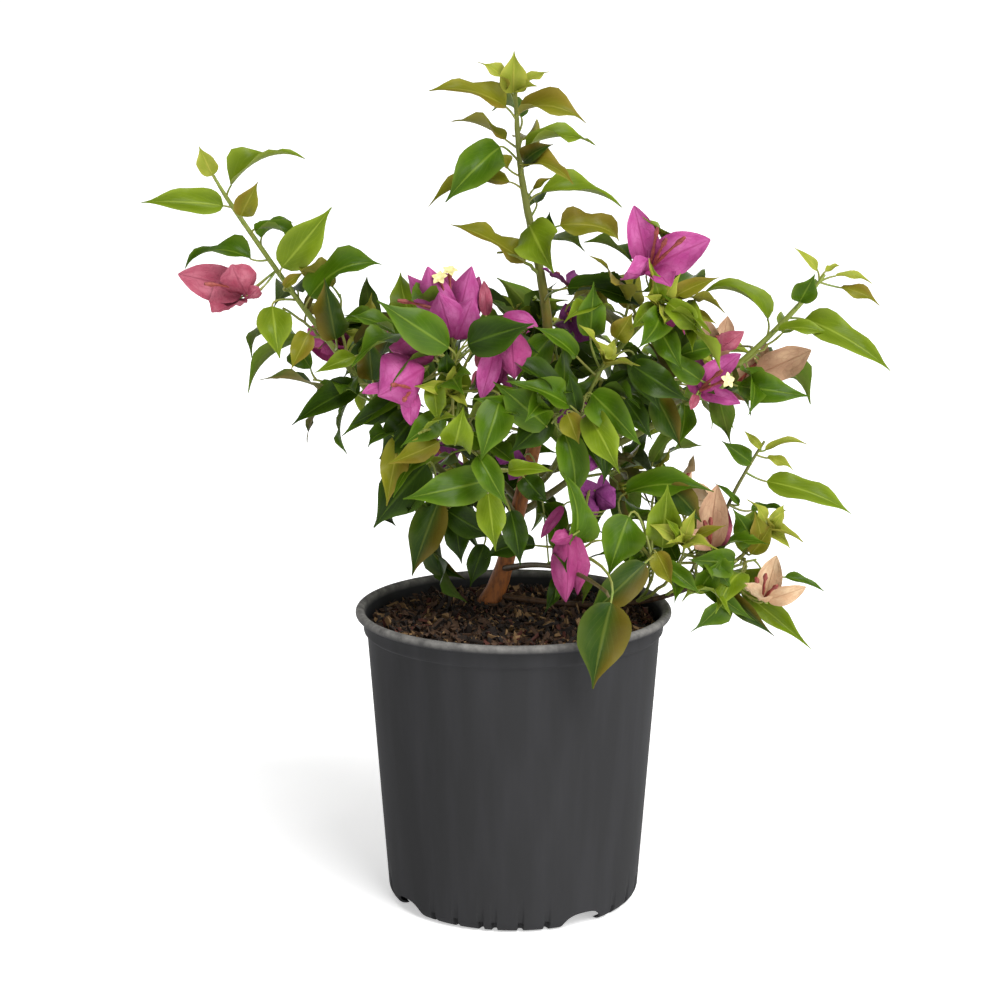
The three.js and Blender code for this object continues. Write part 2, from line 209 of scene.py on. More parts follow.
def spun(profile, steps):
    """A bmesh turned round +Z from a closed profile of (r, z) points."""
    turned = bmesh.new()
    verts = [turned.verts.new((r, 0, z)) for r, z in profile]
    edges = [turned.edges.new((a, b)) for a, b in zip(verts, verts[1:] + verts[:1])]
    bmesh.ops.spin(
        turned,
        geom=verts + edges,
        cent=(0, 0, 0),
        axis=(0, 0, 1),
        angle=2 * math.pi,
        steps=steps,
        use_merge=True,
    )
    bmesh.ops.remove_doubles(turned, verts=turned.verts, dist=1e-6)
    return turned


def foot_shape(degrees, z):
    """How high an arch cuts the foot away at an angle, and how deep a notch dents it at z."""
    from_arch = (degrees - ARCH_ANGLE + 45) % 90 - 45
    if abs(from_arch) < ARCH_HALF:
        return ARCH_HEIGHT * (1 - abs(from_arch / ARCH_HALF) ** 2.6) ** 0.5, 0.0
    from_notch = abs((from_arch + 45 - NOTCH_START + NOTCH_STEP / 2) % NOTCH_STEP - NOTCH_STEP / 2)
    if abs(from_arch) < ARCH_MARGIN or from_notch > NOTCH_HALF or z > NOTCH_HEIGHT:
        return 0.0, 0.0
    ease = min(1, (NOTCH_HEIGHT - z) / mm)
    return 0.0, NOTCH_DEPTH * (1 - (from_notch / NOTCH_HALF) ** 4) * ease


outer_rim = arc((RIM_RADIUS - 2.3 * mm, POT_TOP - 2.3 * mm), 2.3 * mm, -80, 100, 13)
wall_heights = [FOOT_ROUND * f for f in (0, 0.05, 0.15, 0.3, 0.5, 0.72, 0.8, 0.9)]
wall_heights += list(np.linspace(FOOT_ROUND, NECK_Z - 1 * mm, 18))
collar_foot = [
    (NECK_RADIUS + 0.1 * mm, NECK_Z - 0.3 * mm),
    (NECK_RADIUS + 0.9 * mm, NECK_Z + 0.2 * mm),
    (NECK_RADIUS + 1.6 * mm, NECK_Z + 0.8 * mm),
    (NECK_RADIUS + 1.8 * mm, NECK_Z + 1.8 * mm),
]
under_rim = [(NECK_RADIUS + 1.9 * mm, POT_TOP - 5.4 * mm), (NECK_RADIUS + 2.3 * mm, POT_TOP - 4.6 * mm)]
inside_rim = [(RIM_RADIUS - 4.3 * mm, POT_TOP - 1 * mm), (RIM_RADIUS - 5.4 * mm, POT_TOP - 4 * mm)]
pot_profile = [(wall_radius(z), z) for z in wall_heights]
pot_profile += collar_foot + under_rim + outer_rim + inside_rim
pot_profile += [(r - WALL, z) for r, z in reversed(collar_foot)]
pot_profile += [(wall_radius(z) - WALL, z + 0.2 * mm) for z in reversed(wall_heights)]

bm = spun(pot_profile, POT_STEPS)
for vert in bm.verts:
    radius = math.hypot(vert.co.x, vert.co.y)
    is_outside = radius > wall_radius(vert.co.z) - WALL / 2
    cut, dent = foot_shape(math.degrees(math.atan2(vert.co.x, -vert.co.y)), vert.co.z)
    new_radius = radius - dent
    if vert.co.z < cut:
        new_radius = wall_radius(cut) - (0 if is_outside else WALL)
        vert.co.z = cut
    vert.co.x *= new_radius / radius
    vert.co.y *= new_radius / radius
bmesh.ops.remove_doubles(bm, verts=bm.verts, dist=1e-6)
bmesh.ops.dissolve_degenerate(bm, edges=bm.edges, dist=1e-6)
bmesh.ops.recalc_face_normals(bm, faces=bm.faces)

floor_edge = wall_radius(FLOOR_Z + 2 * mm) - WALL
pot_floor = spun(
    [
        (0, FLOOR_Z),
        (floor_edge - 1 * mm, FLOOR_Z),
        (floor_edge, FLOOR_Z + 1 * mm),
        (floor_edge, FLOOR_Z + 2 * mm),
        (0, FLOOR_Z + 2 * mm),
    ],
    POT_STEPS // 4,
)
bmesh.ops.recalc_face_normals(pot_floor, faces=pot_floor.faces)
floor_part = bpy.data.meshes.new("pot_floor")
pot_floor.to_mesh(floor_part)
pot_floor.free()
bm.from_mesh(floor_part)
pot_mesh = bpy.data.meshes.new("nursery_pot")
bm.to_mesh(pot_mesh)
bm.free()
pot_mesh.shade_smooth()
pot_mesh.set_sharp_from_angle(angle=math.radians(50))

# Injection moulded polyethylene: black and dull, its low IOR keeping the edges from shining,
# with a fine mould grain, faint upright scuffs on the wall, and the top of the rim painted a
# paler grey in patches, partly rubbed wear and partly a painted highlight.
PLASTIC_BLACK, PLASTIC_SCUFFED, RIM_WEAR_AND_HIGHLIGHT_GREY = "#313132", "#38383a", "#888682"
pot_plastic, tree, shader = surface("moulded_black_polyethylene", {"Roughness": 0.5, "IOR": 1.05})
at = add(tree, "TexCoord").outputs["Object"]
streaks_at = add(tree, "Mapping", {"Vector": at, "Scale": (1, 1, 0.12)}).outputs[0]
scuffs = add(tree, "TexNoise", {"Vector": streaks_at, "Scale": 1 / (14 * mm), "Detail": 6})
worn = add(
    tree,
    "MapRange",
    {"Value": scuffs.outputs["Fac"], "From Min": 0.42, "From Max": 0.75, "To Max": 0.8},
)
wall_colour = add(tree, "Mix", data_type="RGBA")
tree.links.new(worn.outputs[0], wall_colour.inputs["Factor"])
wall_colour.inputs[6].default_value = paint(PLASTIC_BLACK)
wall_colour.inputs[7].default_value = paint(PLASTIC_SCUFFED)
height = add(tree, "SeparateXYZ", {"Vector": at}).outputs["Z"]
# The top of the rim is painted paler grey: rubbed wear, and a painted highlight on the rolled rim.
on_rim = add(
    tree,
    "MapRange",
    {"Value": height, "From Min": POT_TOP - 4 * mm, "From Max": POT_TOP - 1 * mm},
)
rubbed_and_highlight_noise = add(tree, "TexNoise", {"Vector": at, "Scale": 1 / (5 * mm), "Detail": 5, "Roughness": 0.6})
rubbed_and_highlight_amount = add(
    tree,
    "MapRange",
    {"Value": rubbed_and_highlight_noise.outputs["Fac"], "From Min": 0.32, "From Max": 0.68, "To Min": 0.35},
)
rim_wear_and_highlight = add(tree, "Math", {0: on_rim.outputs[0], 1: rubbed_and_highlight_amount.outputs[0]}, operation="MULTIPLY")
pot_colour = add(tree, "Mix", data_type="RGBA")
tree.links.new(rim_wear_and_highlight.outputs[0], pot_colour.inputs["Factor"])
tree.links.new(wall_colour.outputs[2], pot_colour.inputs[6])
pot_colour.inputs[7].default_value = paint(RIM_WEAR_AND_HIGHLIGHT_GREY)
tree.links.new(pot_colour.outputs[2], shader.inputs["Base Color"])
gloss = add(tree, "MapRange", {"Value": scuffs.outputs["Fac"], "To Min": 0.42, "To Max": 0.56})
tree.links.new(gloss.outputs[0], shader.inputs["Roughness"])
grain = add(tree, "TexNoise", {"Vector": at, "Scale": 1 / (0.9 * mm), "Detail": 3})
grain_bump = add(
    tree, "Bump", {"Height": grain.outputs["Fac"], "Strength": 0.12, "Distance": 0.2 * mm}
)
tree.links.new(grain_bump.outputs[0], shader.inputs["Normal"])
pot_piece = new_piece("nursery_pot", pot_mesh, [pot_plastic])
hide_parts("pot")

# ---------------------------------------------------------------------------------------
# Potting mix. Moist composted bark: dark fines pressed into the pot, with loose chips of
# bark in several browns lying over them.

_, mix_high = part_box("potting_mix")
MIX_RADIUS = 74.6 * mm
MIX_TOP = mix_high.z
MIX_DISH = 2 * mm  # how much lower it lies at the wall
MIX_LUMP = 2.6 * mm
CHIP_COUNT = 4600
CHIP_LENGTH = (2 * mm, 9.5 * mm)
CHIP_SEED = 40


def mix_height(x, y):
    """Level of the mix at a place: dished towards the wall and lumpy."""
    share = math.hypot(x, y) / MIX_RADIUS
    lump = noise.fractal(Vector((x, y, 0)) / (9 * mm), 1.0, 2.0, 3)
    return MIX_TOP - 1.2 * mm - MIX_DISH * share**6 + MIX_LUMP * lump * (1 - share**10)


lid = [(MIX_RADIUS * s, MIX_TOP) for s in np.linspace(0, 1, 56)]
mix_foot_z = FLOOR_Z + 2.5 * mm
mix_foot = wall_radius(mix_foot_z) - 2 * WALL
bm = spun(lid + [(MIX_RADIUS - 1 * mm, MIX_TOP - 8 * mm), (mix_foot, mix_foot_z), (0, mix_foot_z)], 200)
for vert in bm.verts:
    if vert.co.z > MIX_TOP - 1 * mm:
        vert.co.z = mix_height(vert.co.x, vert.co.y)
bmesh.ops.recalc_face_normals(bm, faces=bm.faces)
mix_mesh = bpy.data.meshes.new("potting_mix")
bm.to_mesh(mix_mesh)
bm.free()
mix_mesh.shade_smooth()

# Wet fines of bark: nearly black brown, rough, with paler crumbs.
fines, tree, shader = surface("moist_bark_fines", {"Roughness": 0.85})
at = add(tree, "TexCoord").outputs["Object"]
crumbs = add(tree, "TexNoise", {"Vector": at, "Scale": 1 / (2.2 * mm), "Detail": 6, "Roughness": 0.7})
crumb_colour = add(tree, "ValToRGB", {"Fac": crumbs.outputs["Fac"]})
crumb_colour.color_ramp.elements[0].color = paint("#140c07")
crumb_colour.color_ramp.elements[0].position = 0.38
crumb_colour.color_ramp.elements[1].color = paint("#4a3220")
crumb_colour.color_ramp.elements[1].position = 0.74
tree.links.new(crumb_colour.outputs[0], shader.inputs["Base Color"])
crumb_bump = add(
    tree, "Bump", {"Height": crumbs.outputs["Fac"], "Strength": 0.9, "Distance": 1.2 * mm}
)
tree.links.new(crumb_bump.outputs[0], shader.inputs["Normal"])
mix_piece = new_piece("bark_mix", mix_mesh, [fines])
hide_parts("potting_mix")


def unit(vectors):
    """Vectors scaled to length one."""
    return vectors / np.linalg.norm(vectors, axis=-1, keepdims=True)


def joined(name, parts, materials, crease=40):
    """One piece of many small closed shapes, each a part (points, quads, uvs, slots)."""
    points, quads, uvs, slots, start = [], [], [], [], 0
    for part_points, part_quads, part_uvs, part_slots in parts:
        points.append(part_points)
        quads.append(part_quads + start)
        uvs.append(part_uvs)
        slots.append(part_slots)
        start += len(part_points)
    mesh = bpy.data.meshes.new(name)
    mesh.from_pydata(np.concatenate(points).tolist(), [], np.concatenate(quads).tolist())
    mesh.uv_layers.new(name="OFBake").uv.foreach_set("vector", np.concatenate(uvs).astype(np.float32).ravel())
    mesh.polygons.foreach_set("material_index", np.concatenate(slots).astype(np.int32))
    mesh.shade_smooth()
    mesh.set_sharp_from_angle(angle=math.radians(crease))
    return new_piece(name, mesh, materials)


# A bark chip: a thin split sliver with torn, narrowed ends. Its corners are a box's.
BOX_CORNERS = np.array([(x, y, z) for x in (-1, 1) for y in (-1, 1) for z in (-1, 1)]) / 2
BOX_QUADS = np.array([(0, 1, 3, 2), (4, 6, 7, 5), (0, 4, 5, 1), (2, 3, 7, 6), (0, 2, 6, 4), (1, 5, 7, 3)])


def bark_chips(rng, count):
    """Slivers strewn over the mix, as one array of points and quads."""
    radius = (MIX_RADIUS - 2 * mm) * np.sqrt(rng.random(count))
    angle = rng.random(count) * 2 * math.pi
    x, y = radius * np.cos(angle), radius * np.sin(angle)
    z = np.array([mix_height(a, b) for a, b in zip(x, y)]) + rng.uniform(-1, 2.2, count) * mm
    length = CHIP_LENGTH[0] + (CHIP_LENGTH[1] - CHIP_LENGTH[0]) * rng.random(count) ** 2
    size = np.stack([length, length * rng.uniform(0.12, 0.38, count), rng.uniform(0.5, 1.6, count) * mm], 1)
    torn = 1 + 0.45 * rng.uniform(-1, 1, (count, 8, 3))
    local = BOX_CORNERS[None] * torn * size[:, None]
    yaw, pitch = rng.uniform(0, 2 * math.pi, count), rng.normal(0, 0.55, count)
    roll = rng.normal(0, 1.1, count)
    along = np.stack([np.cos(yaw) * np.cos(pitch), np.sin(yaw) * np.cos(pitch), np.sin(pitch)], 1)
    side = unit(np.cross(np.broadcast_to([0, 0, 1.0], along.shape), along))
    up = np.cross(along, side)
    leaned = side * np.cos(roll)[:, None] + up * np.sin(roll)[:, None]
    axes = np.stack([along, leaned, np.cross(along, leaned)], 1)
    places = np.einsum("nck,nkd->ncd", local, axes) + np.stack([x, y, z], 1)[:, None]
    quads = (BOX_QUADS[None] + 8 * np.arange(count)[:, None, None]).reshape(-1, 4)
    uvs = np.tile([(0, 0), (1, 0), (1, 1), (0, 1)], (len(quads), 1))
    return [(places.reshape(-1, 3), quads, uvs, np.zeros(len(quads)))]


# Split bark: a rough, dry or wet brown with darker fibres along it.
CHIP_KINDS = {
    "dark": ("#120a06", "#28190e", 0.4),
    "brown": ("#2e1d10", "#573c25", 0.4),
    "tan": ("#5c4228", "#98794f", 0.14),
    "rust": ("#3a180f", "#5c2c1d", 0.06),
}
for seed, (kind, (dark, pale, share)) in enumerate(CHIP_KINDS.items()):
    split_bark, tree, shader = surface(f"split_bark_{kind}", {"Roughness": 0.8})
    at = add(tree, "TexCoord").outputs["Object"]
    fibres = add(tree, "TexNoise", {"Vector": at, "Scale": 1 / (3 * mm), "Detail": 4})
    fibre_colour = add(tree, "Mix", data_type="RGBA")
    tree.links.new(fibres.outputs["Fac"], fibre_colour.inputs["Factor"])
    fibre_colour.inputs[6].default_value = paint(dark)
    fibre_colour.inputs[7].default_value = paint(pale)
    tree.links.new(fibre_colour.outputs[2], shader.inputs["Base Color"])
    chips = bark_chips(np.random.default_rng(CHIP_SEED + seed), int(CHIP_COUNT * share))
    joined(f"bark_chips_{kind}", chips, [split_bark], crease=30)

# ---------------------------------------------------------------------------------------
# Trunk and boughs. A leaning trunk with a flare at the mix, and boughs that leave it. The
# old wood has thin orange-brown bark, which turns to smooth green towards every tip.

LIMB_SAMPLES, TRUNK_SAMPLES = 40, 120
TRUNK_SIDES, BOUGH_SIDES = 20, 10
TRUNK_BEND, BOUGH_BEND = 6, 3  # degree of the curve that follows a limb's solid
BARK_RIDGE = 0.3 * mm
BOUGH_TIP = 0.7 * mm
FLARE, FLARE_HEIGHT = 2.6 * mm, 9 * mm

# The mass that each bough runs on into, and how far across its box the bough's tip lies.
BOUGH_ENDS = {
    "left_bough": ("left_tip_leaves", (0.43, 0.5, 0.6)),
    "right_bough": ("right_tip_leaves", (0.46, 0.5, 0.95)),
    "upper_right_bough": ("upper_right_leaves", (0.58, 0.3, 0.4)),
    "front_left_bough": ("front_left_leaves", (0.54, 0.33, 0.25)),
    "front_right_bough": ("centre_leaves", (0.8, 0.45, 0.9)),
    "low_right_bough": ("low_right_end_leaves", (0.56, 0.5, 0.9)),
    "low_right_shoot": ("low_right_shoot_leaves", (0.34, 0.5, 0.98)),
    "low_front_bough": ("hanging_leaves", (0.45, 0.6, 0.9)),
    "low_left_bough": ("low_left_leaves", (0.4, 0.4, 0.7)),
    "back_left_bough": ("back_left_leaves", (0.5, 0.5, 0.7)),
    "back_bough": ("back_leaves", (0.5, 0.5, 0.7)),
    "back_right_bough": ("back_right_leaves", (0.55, 0.5, 0.7)),
    "back_low_bough": ("back_low_leaves", (0.5, 0.5, 0.6)),
}


def spot(mass, shares):
    """The place at these shares of a mass's box along X, Y and Z."""
    low, high = (np.array(corner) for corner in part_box(mass))
    return low + (high - low) * np.array(shares)


def evenly(points, radii, count):
    """A limb's points and radii, spaced evenly along it."""
    run = np.concatenate([[0], np.cumsum(np.linalg.norm(np.diff(points, axis=0), axis=1))])
    at_run = np.linspace(0, run[-1], count)
    places = np.stack([np.interp(at_run, run, points[:, k]) for k in range(3)], 1)
    return places, np.interp(at_run, run, radii)


def cad_limb(node, degree):
    """The centreline and radii of a limb's solid, from its foot to its tip."""
    corners = np.array([v.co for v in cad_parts[node].data.vertices], float)
    middle = corners.mean(0)
    chord = np.linalg.svd(corners - middle, full_matrices=False)[2][0]
    chord = chord * np.sign(chord[2])
    along = (corners - middle) @ chord
    share = (along - along.min()) / np.ptp(along)
    line = np.polyfit(share, corners, degree)

    def follow(shares):
        return np.stack([np.polyval(line[:, k], shares) for k in range(3)], -1)

    radius = np.polyfit(share, np.linalg.norm(corners - follow(share), axis=1), 1)
    shares = np.linspace(0, 1, LIMB_SAMPLES)
    return follow(shares), np.polyval(radius, shares)


def run_on(points, radii, tip, tip_radius):
    """The limb carried on in a smooth curve from its end to a tip inside its mass."""
    ahead = unit(points[-1] - points[-4]) * np.linalg.norm(tip - points[-1]) * 0.5
    t = np.linspace(0, 1, 12)[1:, None]
    more = (1 - t) ** 2 * points[-1] + 2 * t * (1 - t) * (points[-1] + ahead) + t**2 * tip
    more_radii = np.linspace(radii[-1], tip_radius, len(t))
    return evenly(np.concatenate([points, more]), np.concatenate([radii, more_radii]), LIMB_SAMPLES)


def rooted(points, radii, bearers):
    """The limb with its foot carried on into the middle of the limb that bears it."""
    middles = np.concatenate([line for line, _ in bearers])
    nearest = middles[np.argmin(np.linalg.norm(middles - points[0], axis=1))]
    return np.concatenate([[nearest], points]), np.concatenate([radii[:1], radii])


limbs = {"trunk": cad_limb("trunk", TRUNK_BEND)}
for bough, (mass, shares) in BOUGH_ENDS.items():
    points, radii = rooted(*cad_limb(bough, BOUGH_BEND), limbs.values())
    limbs[bough] = run_on(points, radii, spot(mass, shares), BOUGH_TIP)


def limb_body(points, radii, sides, ridge, flare=0.0):
    """A bmesh drawn out along a limb ring by ring, with closed ends and a ridged skin."""
    body = bmesh.new()
    tangents = unit(np.gradient(points, axis=0))
    made = bmesh.ops.create_circle(body, cap_ends=True, segments=sides, radius=1)
    ring, cap = made["verts"], body.faces[:]
    angles = np.linspace(0, 2 * math.pi, sides, endpoint=False)
    for step, (place, tangent, radius) in enumerate(zip(points, tangents, radii)):
        if step:
            grown = bmesh.ops.extrude_face_region(body, geom=cap)["geom"]
            if step > 1:
                bmesh.ops.delete(body, geom=cap, context="FACES_ONLY")
            cap = [g for g in grown if isinstance(g, bmesh.types.BMFace)]
            ring = cap[0].verts
        side = unit(np.cross(tangent, (0, 1, 0.001)))
        front = np.cross(side, tangent)
        wide = radius + flare * math.exp(-(place[2] - points[0][2]) / FLARE_HEIGHT)
        for vert, angle in zip(ring, angles):
            rough = noise.noise(Vector((math.cos(angle) * 1.6, math.sin(angle) * 1.6, place[2] / (5 * mm))))
            out = (wide + ridge * rough) * (math.cos(angle) * side + math.sin(angle) * front)
            vert.co = Vector(place + out)
    bmesh.ops.recalc_face_normals(body, faces=body.faces)
    return body


def add_body(mesh_into, body):
    """Adds a bmesh to another, and frees it."""
    holder = bpy.data.meshes.new("holder")
    body.to_mesh(holder)
    body.free()
    mesh_into.from_mesh(holder)
    bpy.data.meshes.remove(holder)


# Young wood: thin bark, orange-brown and cracked lengthwise low down, green higher up.
def wood(name, low_colour, crack_colour, high_colour, brown_below, green_above):
    """Bark that turns from the low colour to the high one between two heights."""
    material, tree, shader = surface(name, {"Roughness": 0.6})
    at = add(tree, "TexCoord").outputs["Object"]
    height = add(tree, "SeparateXYZ", {"Vector": at}).outputs["Z"]
    long_way = add(tree, "Mapping", {"Vector": at, "Scale": (1, 1, 0.3)}).outputs[0]
    cracks = add(tree, "TexNoise", {"Vector": long_way, "Scale": 1 / (1.6 * mm), "Detail": 6})
    crack_amount = add(
        tree, "MapRange", {"Value": cracks.outputs["Fac"], "From Min": 0.34, "From Max": 0.56}
    )
    bark_mix_colour = add(tree, "Mix", data_type="RGBA")
    tree.links.new(crack_amount.outputs[0], bark_mix_colour.inputs["Factor"])
    bark_mix_colour.inputs[6].default_value = paint(crack_colour)
    bark_mix_colour.inputs[7].default_value = paint(low_colour)
    greenness = add(
        tree, "MapRange", {"Value": height, "From Min": brown_below, "From Max": green_above}
    )
    wood_colour = add(tree, "Mix", data_type="RGBA")
    tree.links.new(greenness.outputs[0], wood_colour.inputs["Factor"])
    tree.links.new(bark_mix_colour.outputs[2], wood_colour.inputs[6])
    wood_colour.inputs[7].default_value = paint(high_colour)
    tree.links.new(wood_colour.outputs[2], shader.inputs["Base Color"])
    bump = add(tree, "Bump", {"Height": cracks.outputs["Fac"], "Strength": 0.6, "Distance": 0.4 * mm})
    tree.links.new(bump.outputs[0], shader.inputs["Normal"])
    return material


trunk_points, trunk_radii = limbs["trunk"]
points, radii = evenly(trunk_points, trunk_radii, TRUNK_SAMPLES)
points = np.concatenate([points[:1] - (0, 0, 3 * mm), points])  # its foot goes down into the mix
radii = np.concatenate([radii[:1], radii])
bm = limb_body(points, radii * 0.95, TRUNK_SIDES, BARK_RIDGE, FLARE)
trunk_mesh = bpy.data.meshes.new("trunk_bark")
bm.to_mesh(trunk_mesh)
bm.free()
trunk_mesh.shade_smooth()
trunk_bark = wood("thin_orange_bark", "#9c5a20", "#6c3f16", "#6f7526", 225 * mm, 330 * mm)
trunk_piece = new_piece("trunk_bark", trunk_mesh, [trunk_bark])
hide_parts("trunk")

bm = bmesh.new()
for bough in BOUGH_ENDS:
    add_body(bm, limb_body(*limbs[bough], BOUGH_SIDES, BARK_RIDGE / 3))
bough_mesh = bpy.data.meshes.new("bough_bark")
bm.to_mesh(bough_mesh)
bm.free()
bough_mesh.shade_smooth()
green_bark = wood("smooth_green_bark", "#4c341d", "#2e1d0e", "#7d8a35", 165 * mm, 290 * mm)
bough_piece = new_piece("bough_bark", bough_mesh, [green_bark])
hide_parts(*BOUGH_ENDS)

# ---------------------------------------------------------------------------------------
# Twigs. Side shoots, leaf stalks and flower stalks, all thin round green stems. Everything
# that grows is noted here first, by the branching rule, and made into meshes afterwards.

TUBE_SIDES = 6


def tubes(paths, radii):
    """Closed round tubes along paths (n, m, 3) with radii (n, m)."""
    count, steps = radii.shape
    tangents = unit(np.gradient(paths, axis=1))
    helper = np.where(np.abs(tangents[:, :1, 2:3]) < 0.8, [[[0, 0, 1.0]]], [[[1.0, 0, 0]]])
    side = unit(np.cross(tangents, helper))
    front = np.cross(side, tangents)
    angle = np.linspace(0, 2 * math.pi, TUBE_SIDES, endpoint=False)
    ring = np.cos(angle)[:, None] * side[:, :, None] + np.sin(angle)[:, None] * front[:, :, None]
    points = paths[:, :, None] + radii[:, :, None, None] * ring
    k, s = np.meshgrid(np.arange(TUBE_SIDES), np.arange(steps - 1) * TUBE_SIDES)
    nxt = (k + 1) % TUBE_SIDES
    wall = np.stack([s + k, s + TUBE_SIDES + k, s + TUBE_SIDES + nxt, s + nxt], -1)
    near_cap = np.array([(0, 1, 2, 3), (0, 3, 4, 5)])
    far_cap = np.array([(0, 3, 2, 1), (0, 5, 4, 3)]) + (steps - 1) * TUBE_SIDES
    one = np.concatenate([wall.reshape(-1, 4), near_cap, far_cap])
    quads = (one[None] + steps * TUBE_SIDES * np.arange(count)[:, None, None]).reshape(-1, 4)
    uvs = np.tile([(0, 0), (1, 0), (1, 1), (0, 1)], (len(quads), 1))
    return points.reshape(-1, 3), quads, uvs, np.zeros(len(quads))


twig_runs = []  # (points (m, 3), radii (m,)) of every side shoot and stalk
leaf_rows = {kind: [] for kind in ("deep", "green", "fresh", "olive", "young", "bronzed")}
UP = np.array([0, 0, 1.0])
VIEWER = np.array([0, -1.0, 0])


def curve(start, middle, end, count):
    """Points on a quadratic curve."""
    t = np.linspace(0, 1, count)[:, None]
    return (1 - t) ** 2 * start + 2 * t * (1 - t) * middle + t**2 * end


def on_limb(limb, share):
    """A place on a limb, its direction there and its radius."""
    points, radii = limb
    step = share * (len(points) - 1)
    low = min(int(step), len(points) - 2)
    place = points[low] + (points[low + 1] - points[low]) * (step - low)
    return place, unit(points[low + 1] - points[low]), radii[low]


ARCH_GROWTH = 1.3  # how late along a blade its arch comes
ROUND = 6.3  # radians, about a whole turn
LEAF_TURN = 2.4  # radians from one leaf to the next up a shoot


def blade_row(base, along, up, size, bends):
    """One blade: its foot, its way, its upper face, (length, width, arch) and other bends."""
    along = unit(along)
    up = unit(up - along * (up @ along))
    return [*base, *along, *up, *size, *bends]


def leaf_bends(rng, fold=(0.2, 0.65)):
    """Bend, fold, cup, wave, phase and twist of one leaf."""
    bend, twist = rng.normal(0, 0.3), rng.normal(0, 0.35)
    fold, cup, wave = rng.uniform(*fold), rng.uniform(-0.05, 0.25), rng.uniform(0.14, 0.5)
    return bend, fold, cup, wave, rng.uniform(0, ROUND), twist


def towards_tip(foot, tip, arch, up):
    """The way and length a blade starts with so that, arched over, it ends at the tip."""
    u = np.linspace(0, 1, 30)
    turn = arch * u**ARCH_GROWTH
    run, drop = np.cos(turn).mean(), np.sin(turn).mean()
    chord = tip - foot
    up = unit(up - unit(chord) * (up @ unit(chord)))
    lean = math.atan2(drop, run)
    along = unit(chord) * math.cos(lean) + up * math.sin(lean)
    upper = up * math.cos(lean) - unit(chord) * math.sin(lean)
    return along, upper, np.linalg.norm(chord) / math.hypot(run, drop)


def sprout(limb, share, out, kind, length, rng, droop=0.95, lift=0.45):
    """Grows one leaf on its stalk from a limb, out sideways and then over."""
    place, ahead, radius = on_limb(limb, share)
    out = unit(out - ahead * (out @ ahead))
    away = unit(out + lift * ahead + 0.12 * UP)
    stalk = length * rng.uniform(0.16, 0.26)
    foot = place + out * radius * 0.6
    base = foot + away * stalk
    run = curve(foot, foot + unit(away + 0.5 * ahead) * stalk * 0.5, base, 5)
    twig_runs.append((run, np.linspace(0.7, 0.45, 5) * mm))
    along = unit(away + (0.3 - 0.35 * droop) * UP + rng.normal(0, 0.12, 3))
    outward = unit(np.array([base[0], base[1], 0.0]) + 1e-6)
    facing = UP + rng.uniform(0.1, 0.9) * outward + rng.normal(0, 0.25, 3)
    size = (length, length * rng.uniform(0.44, 0.58), droop * rng.uniform(0.6, 1.3))
    leaf_rows[kind].append(blade_row(base - along * 0.6 * mm, along, facing, size, leaf_bends(rng)))


def rosette(limb, rng, count=4, length=17 * mm, spread=0.75):
    """The young leaves round a growing tip, half open."""
    place, ahead, _ = on_limb(limb, 1.0)
    side = unit(np.cross(ahead, (0.2, 1, 0.1)))
    depth = np.cross(ahead, side)
    for k in range(count):
        turn = LEAF_TURN * k + rng.uniform(-0.3, 0.3)
        out = side * math.cos(turn) + depth * math.sin(turn)
        along = unit(ahead + out * spread * (1.3 - 0.22 * k))
        size = length * (1.15 - 0.15 * k) * rng.uniform(0.85, 1.15)
        row = blade_row(
            place - ahead * 1 * mm,
            along,
            ahead - 0.4 * out + 0.2 * VIEWER,
            (size, size * 0.44, rng.uniform(0.3, 1.2)),
            leaf_bends(rng, (0.3, 0.7)),
        )
        leaf_rows["young"].append(row)


def side_shoot(limb, share, tip, radius, rng):
    """A thin shoot from a limb to a tip, leaving along the limb and curving out."""
    place, ahead, _ = on_limb(limb, share)
    reach = np.linalg.norm(tip - place)
    middle = place + unit(ahead + 0.8 * unit(tip - place)) * reach * 0.5
    run = curve(place, middle, tip, 12)
    kinks = rng.normal(0, 0.35 * mm, run.shape)
    kinks[:2] = 0
    radii = np.linspace(radius, 0.6 * mm, len(run))
    twig_runs.append((run + kinks, radii))
    return run + kinks, radii


# Stems that show between the leaves: the limb and share they leave from, their tip in mm,
# and whether a rosette of young leaves ends them.
STEMS = {
    "front_left_stem": ("front_left_bough", 0.7, (-31, -34, 273), True),
    "front_low_stem": ("front_left_bough", 0.3, (-14, -46, 235), False),
    "left_stem": ("left_bough", 0.42, (-58, -18, 268), False),
    "low_left_stem": ("low_left_bough", 0.5, (-40, -16, 226), False),
    "centre_stem": ("front_right_bough", 0.6, (45, -30, 287), True),
    "centre_low_stem": ("front_right_bough", 0.45, (34, -42, 264), False),
    "upper_right_stem": ("upper_right_bough", 0.7, (73, -20, 316), True),
    "right_stem": ("right_bough", 0.62, (108, -10, 273), False),
    "hanging_stem": ("low_front_bough", 0.5, (36, -38, 212), False),
    "low_front_stem": ("low_right_bough", 0.35, (70, -38, 192), False),
    "low_middle_stem": ("low_right_bough", 0.5, (85, -34, 197), True),
    "low_end_stem": ("low_right_bough", 0.85, (131, -10, 198), True),
    "low_tip_stem": ("low_right_bough", 0.75, (112, -10, 170), False),
    "stub": ("trunk", 0.63, (-8, 14, 337), False),
}
STEM_SEED = 90
rng = np.random.default_rng(STEM_SEED)
for stem, (limb, share, tip, has_rosette) in STEMS.items():
    limbs[stem] = side_shoot(limbs[limb], share, np.array(tip) * mm, 1.1 * mm, rng)
    if has_rosette:
        rosette(limbs[stem], rng, 6, 21 * mm)

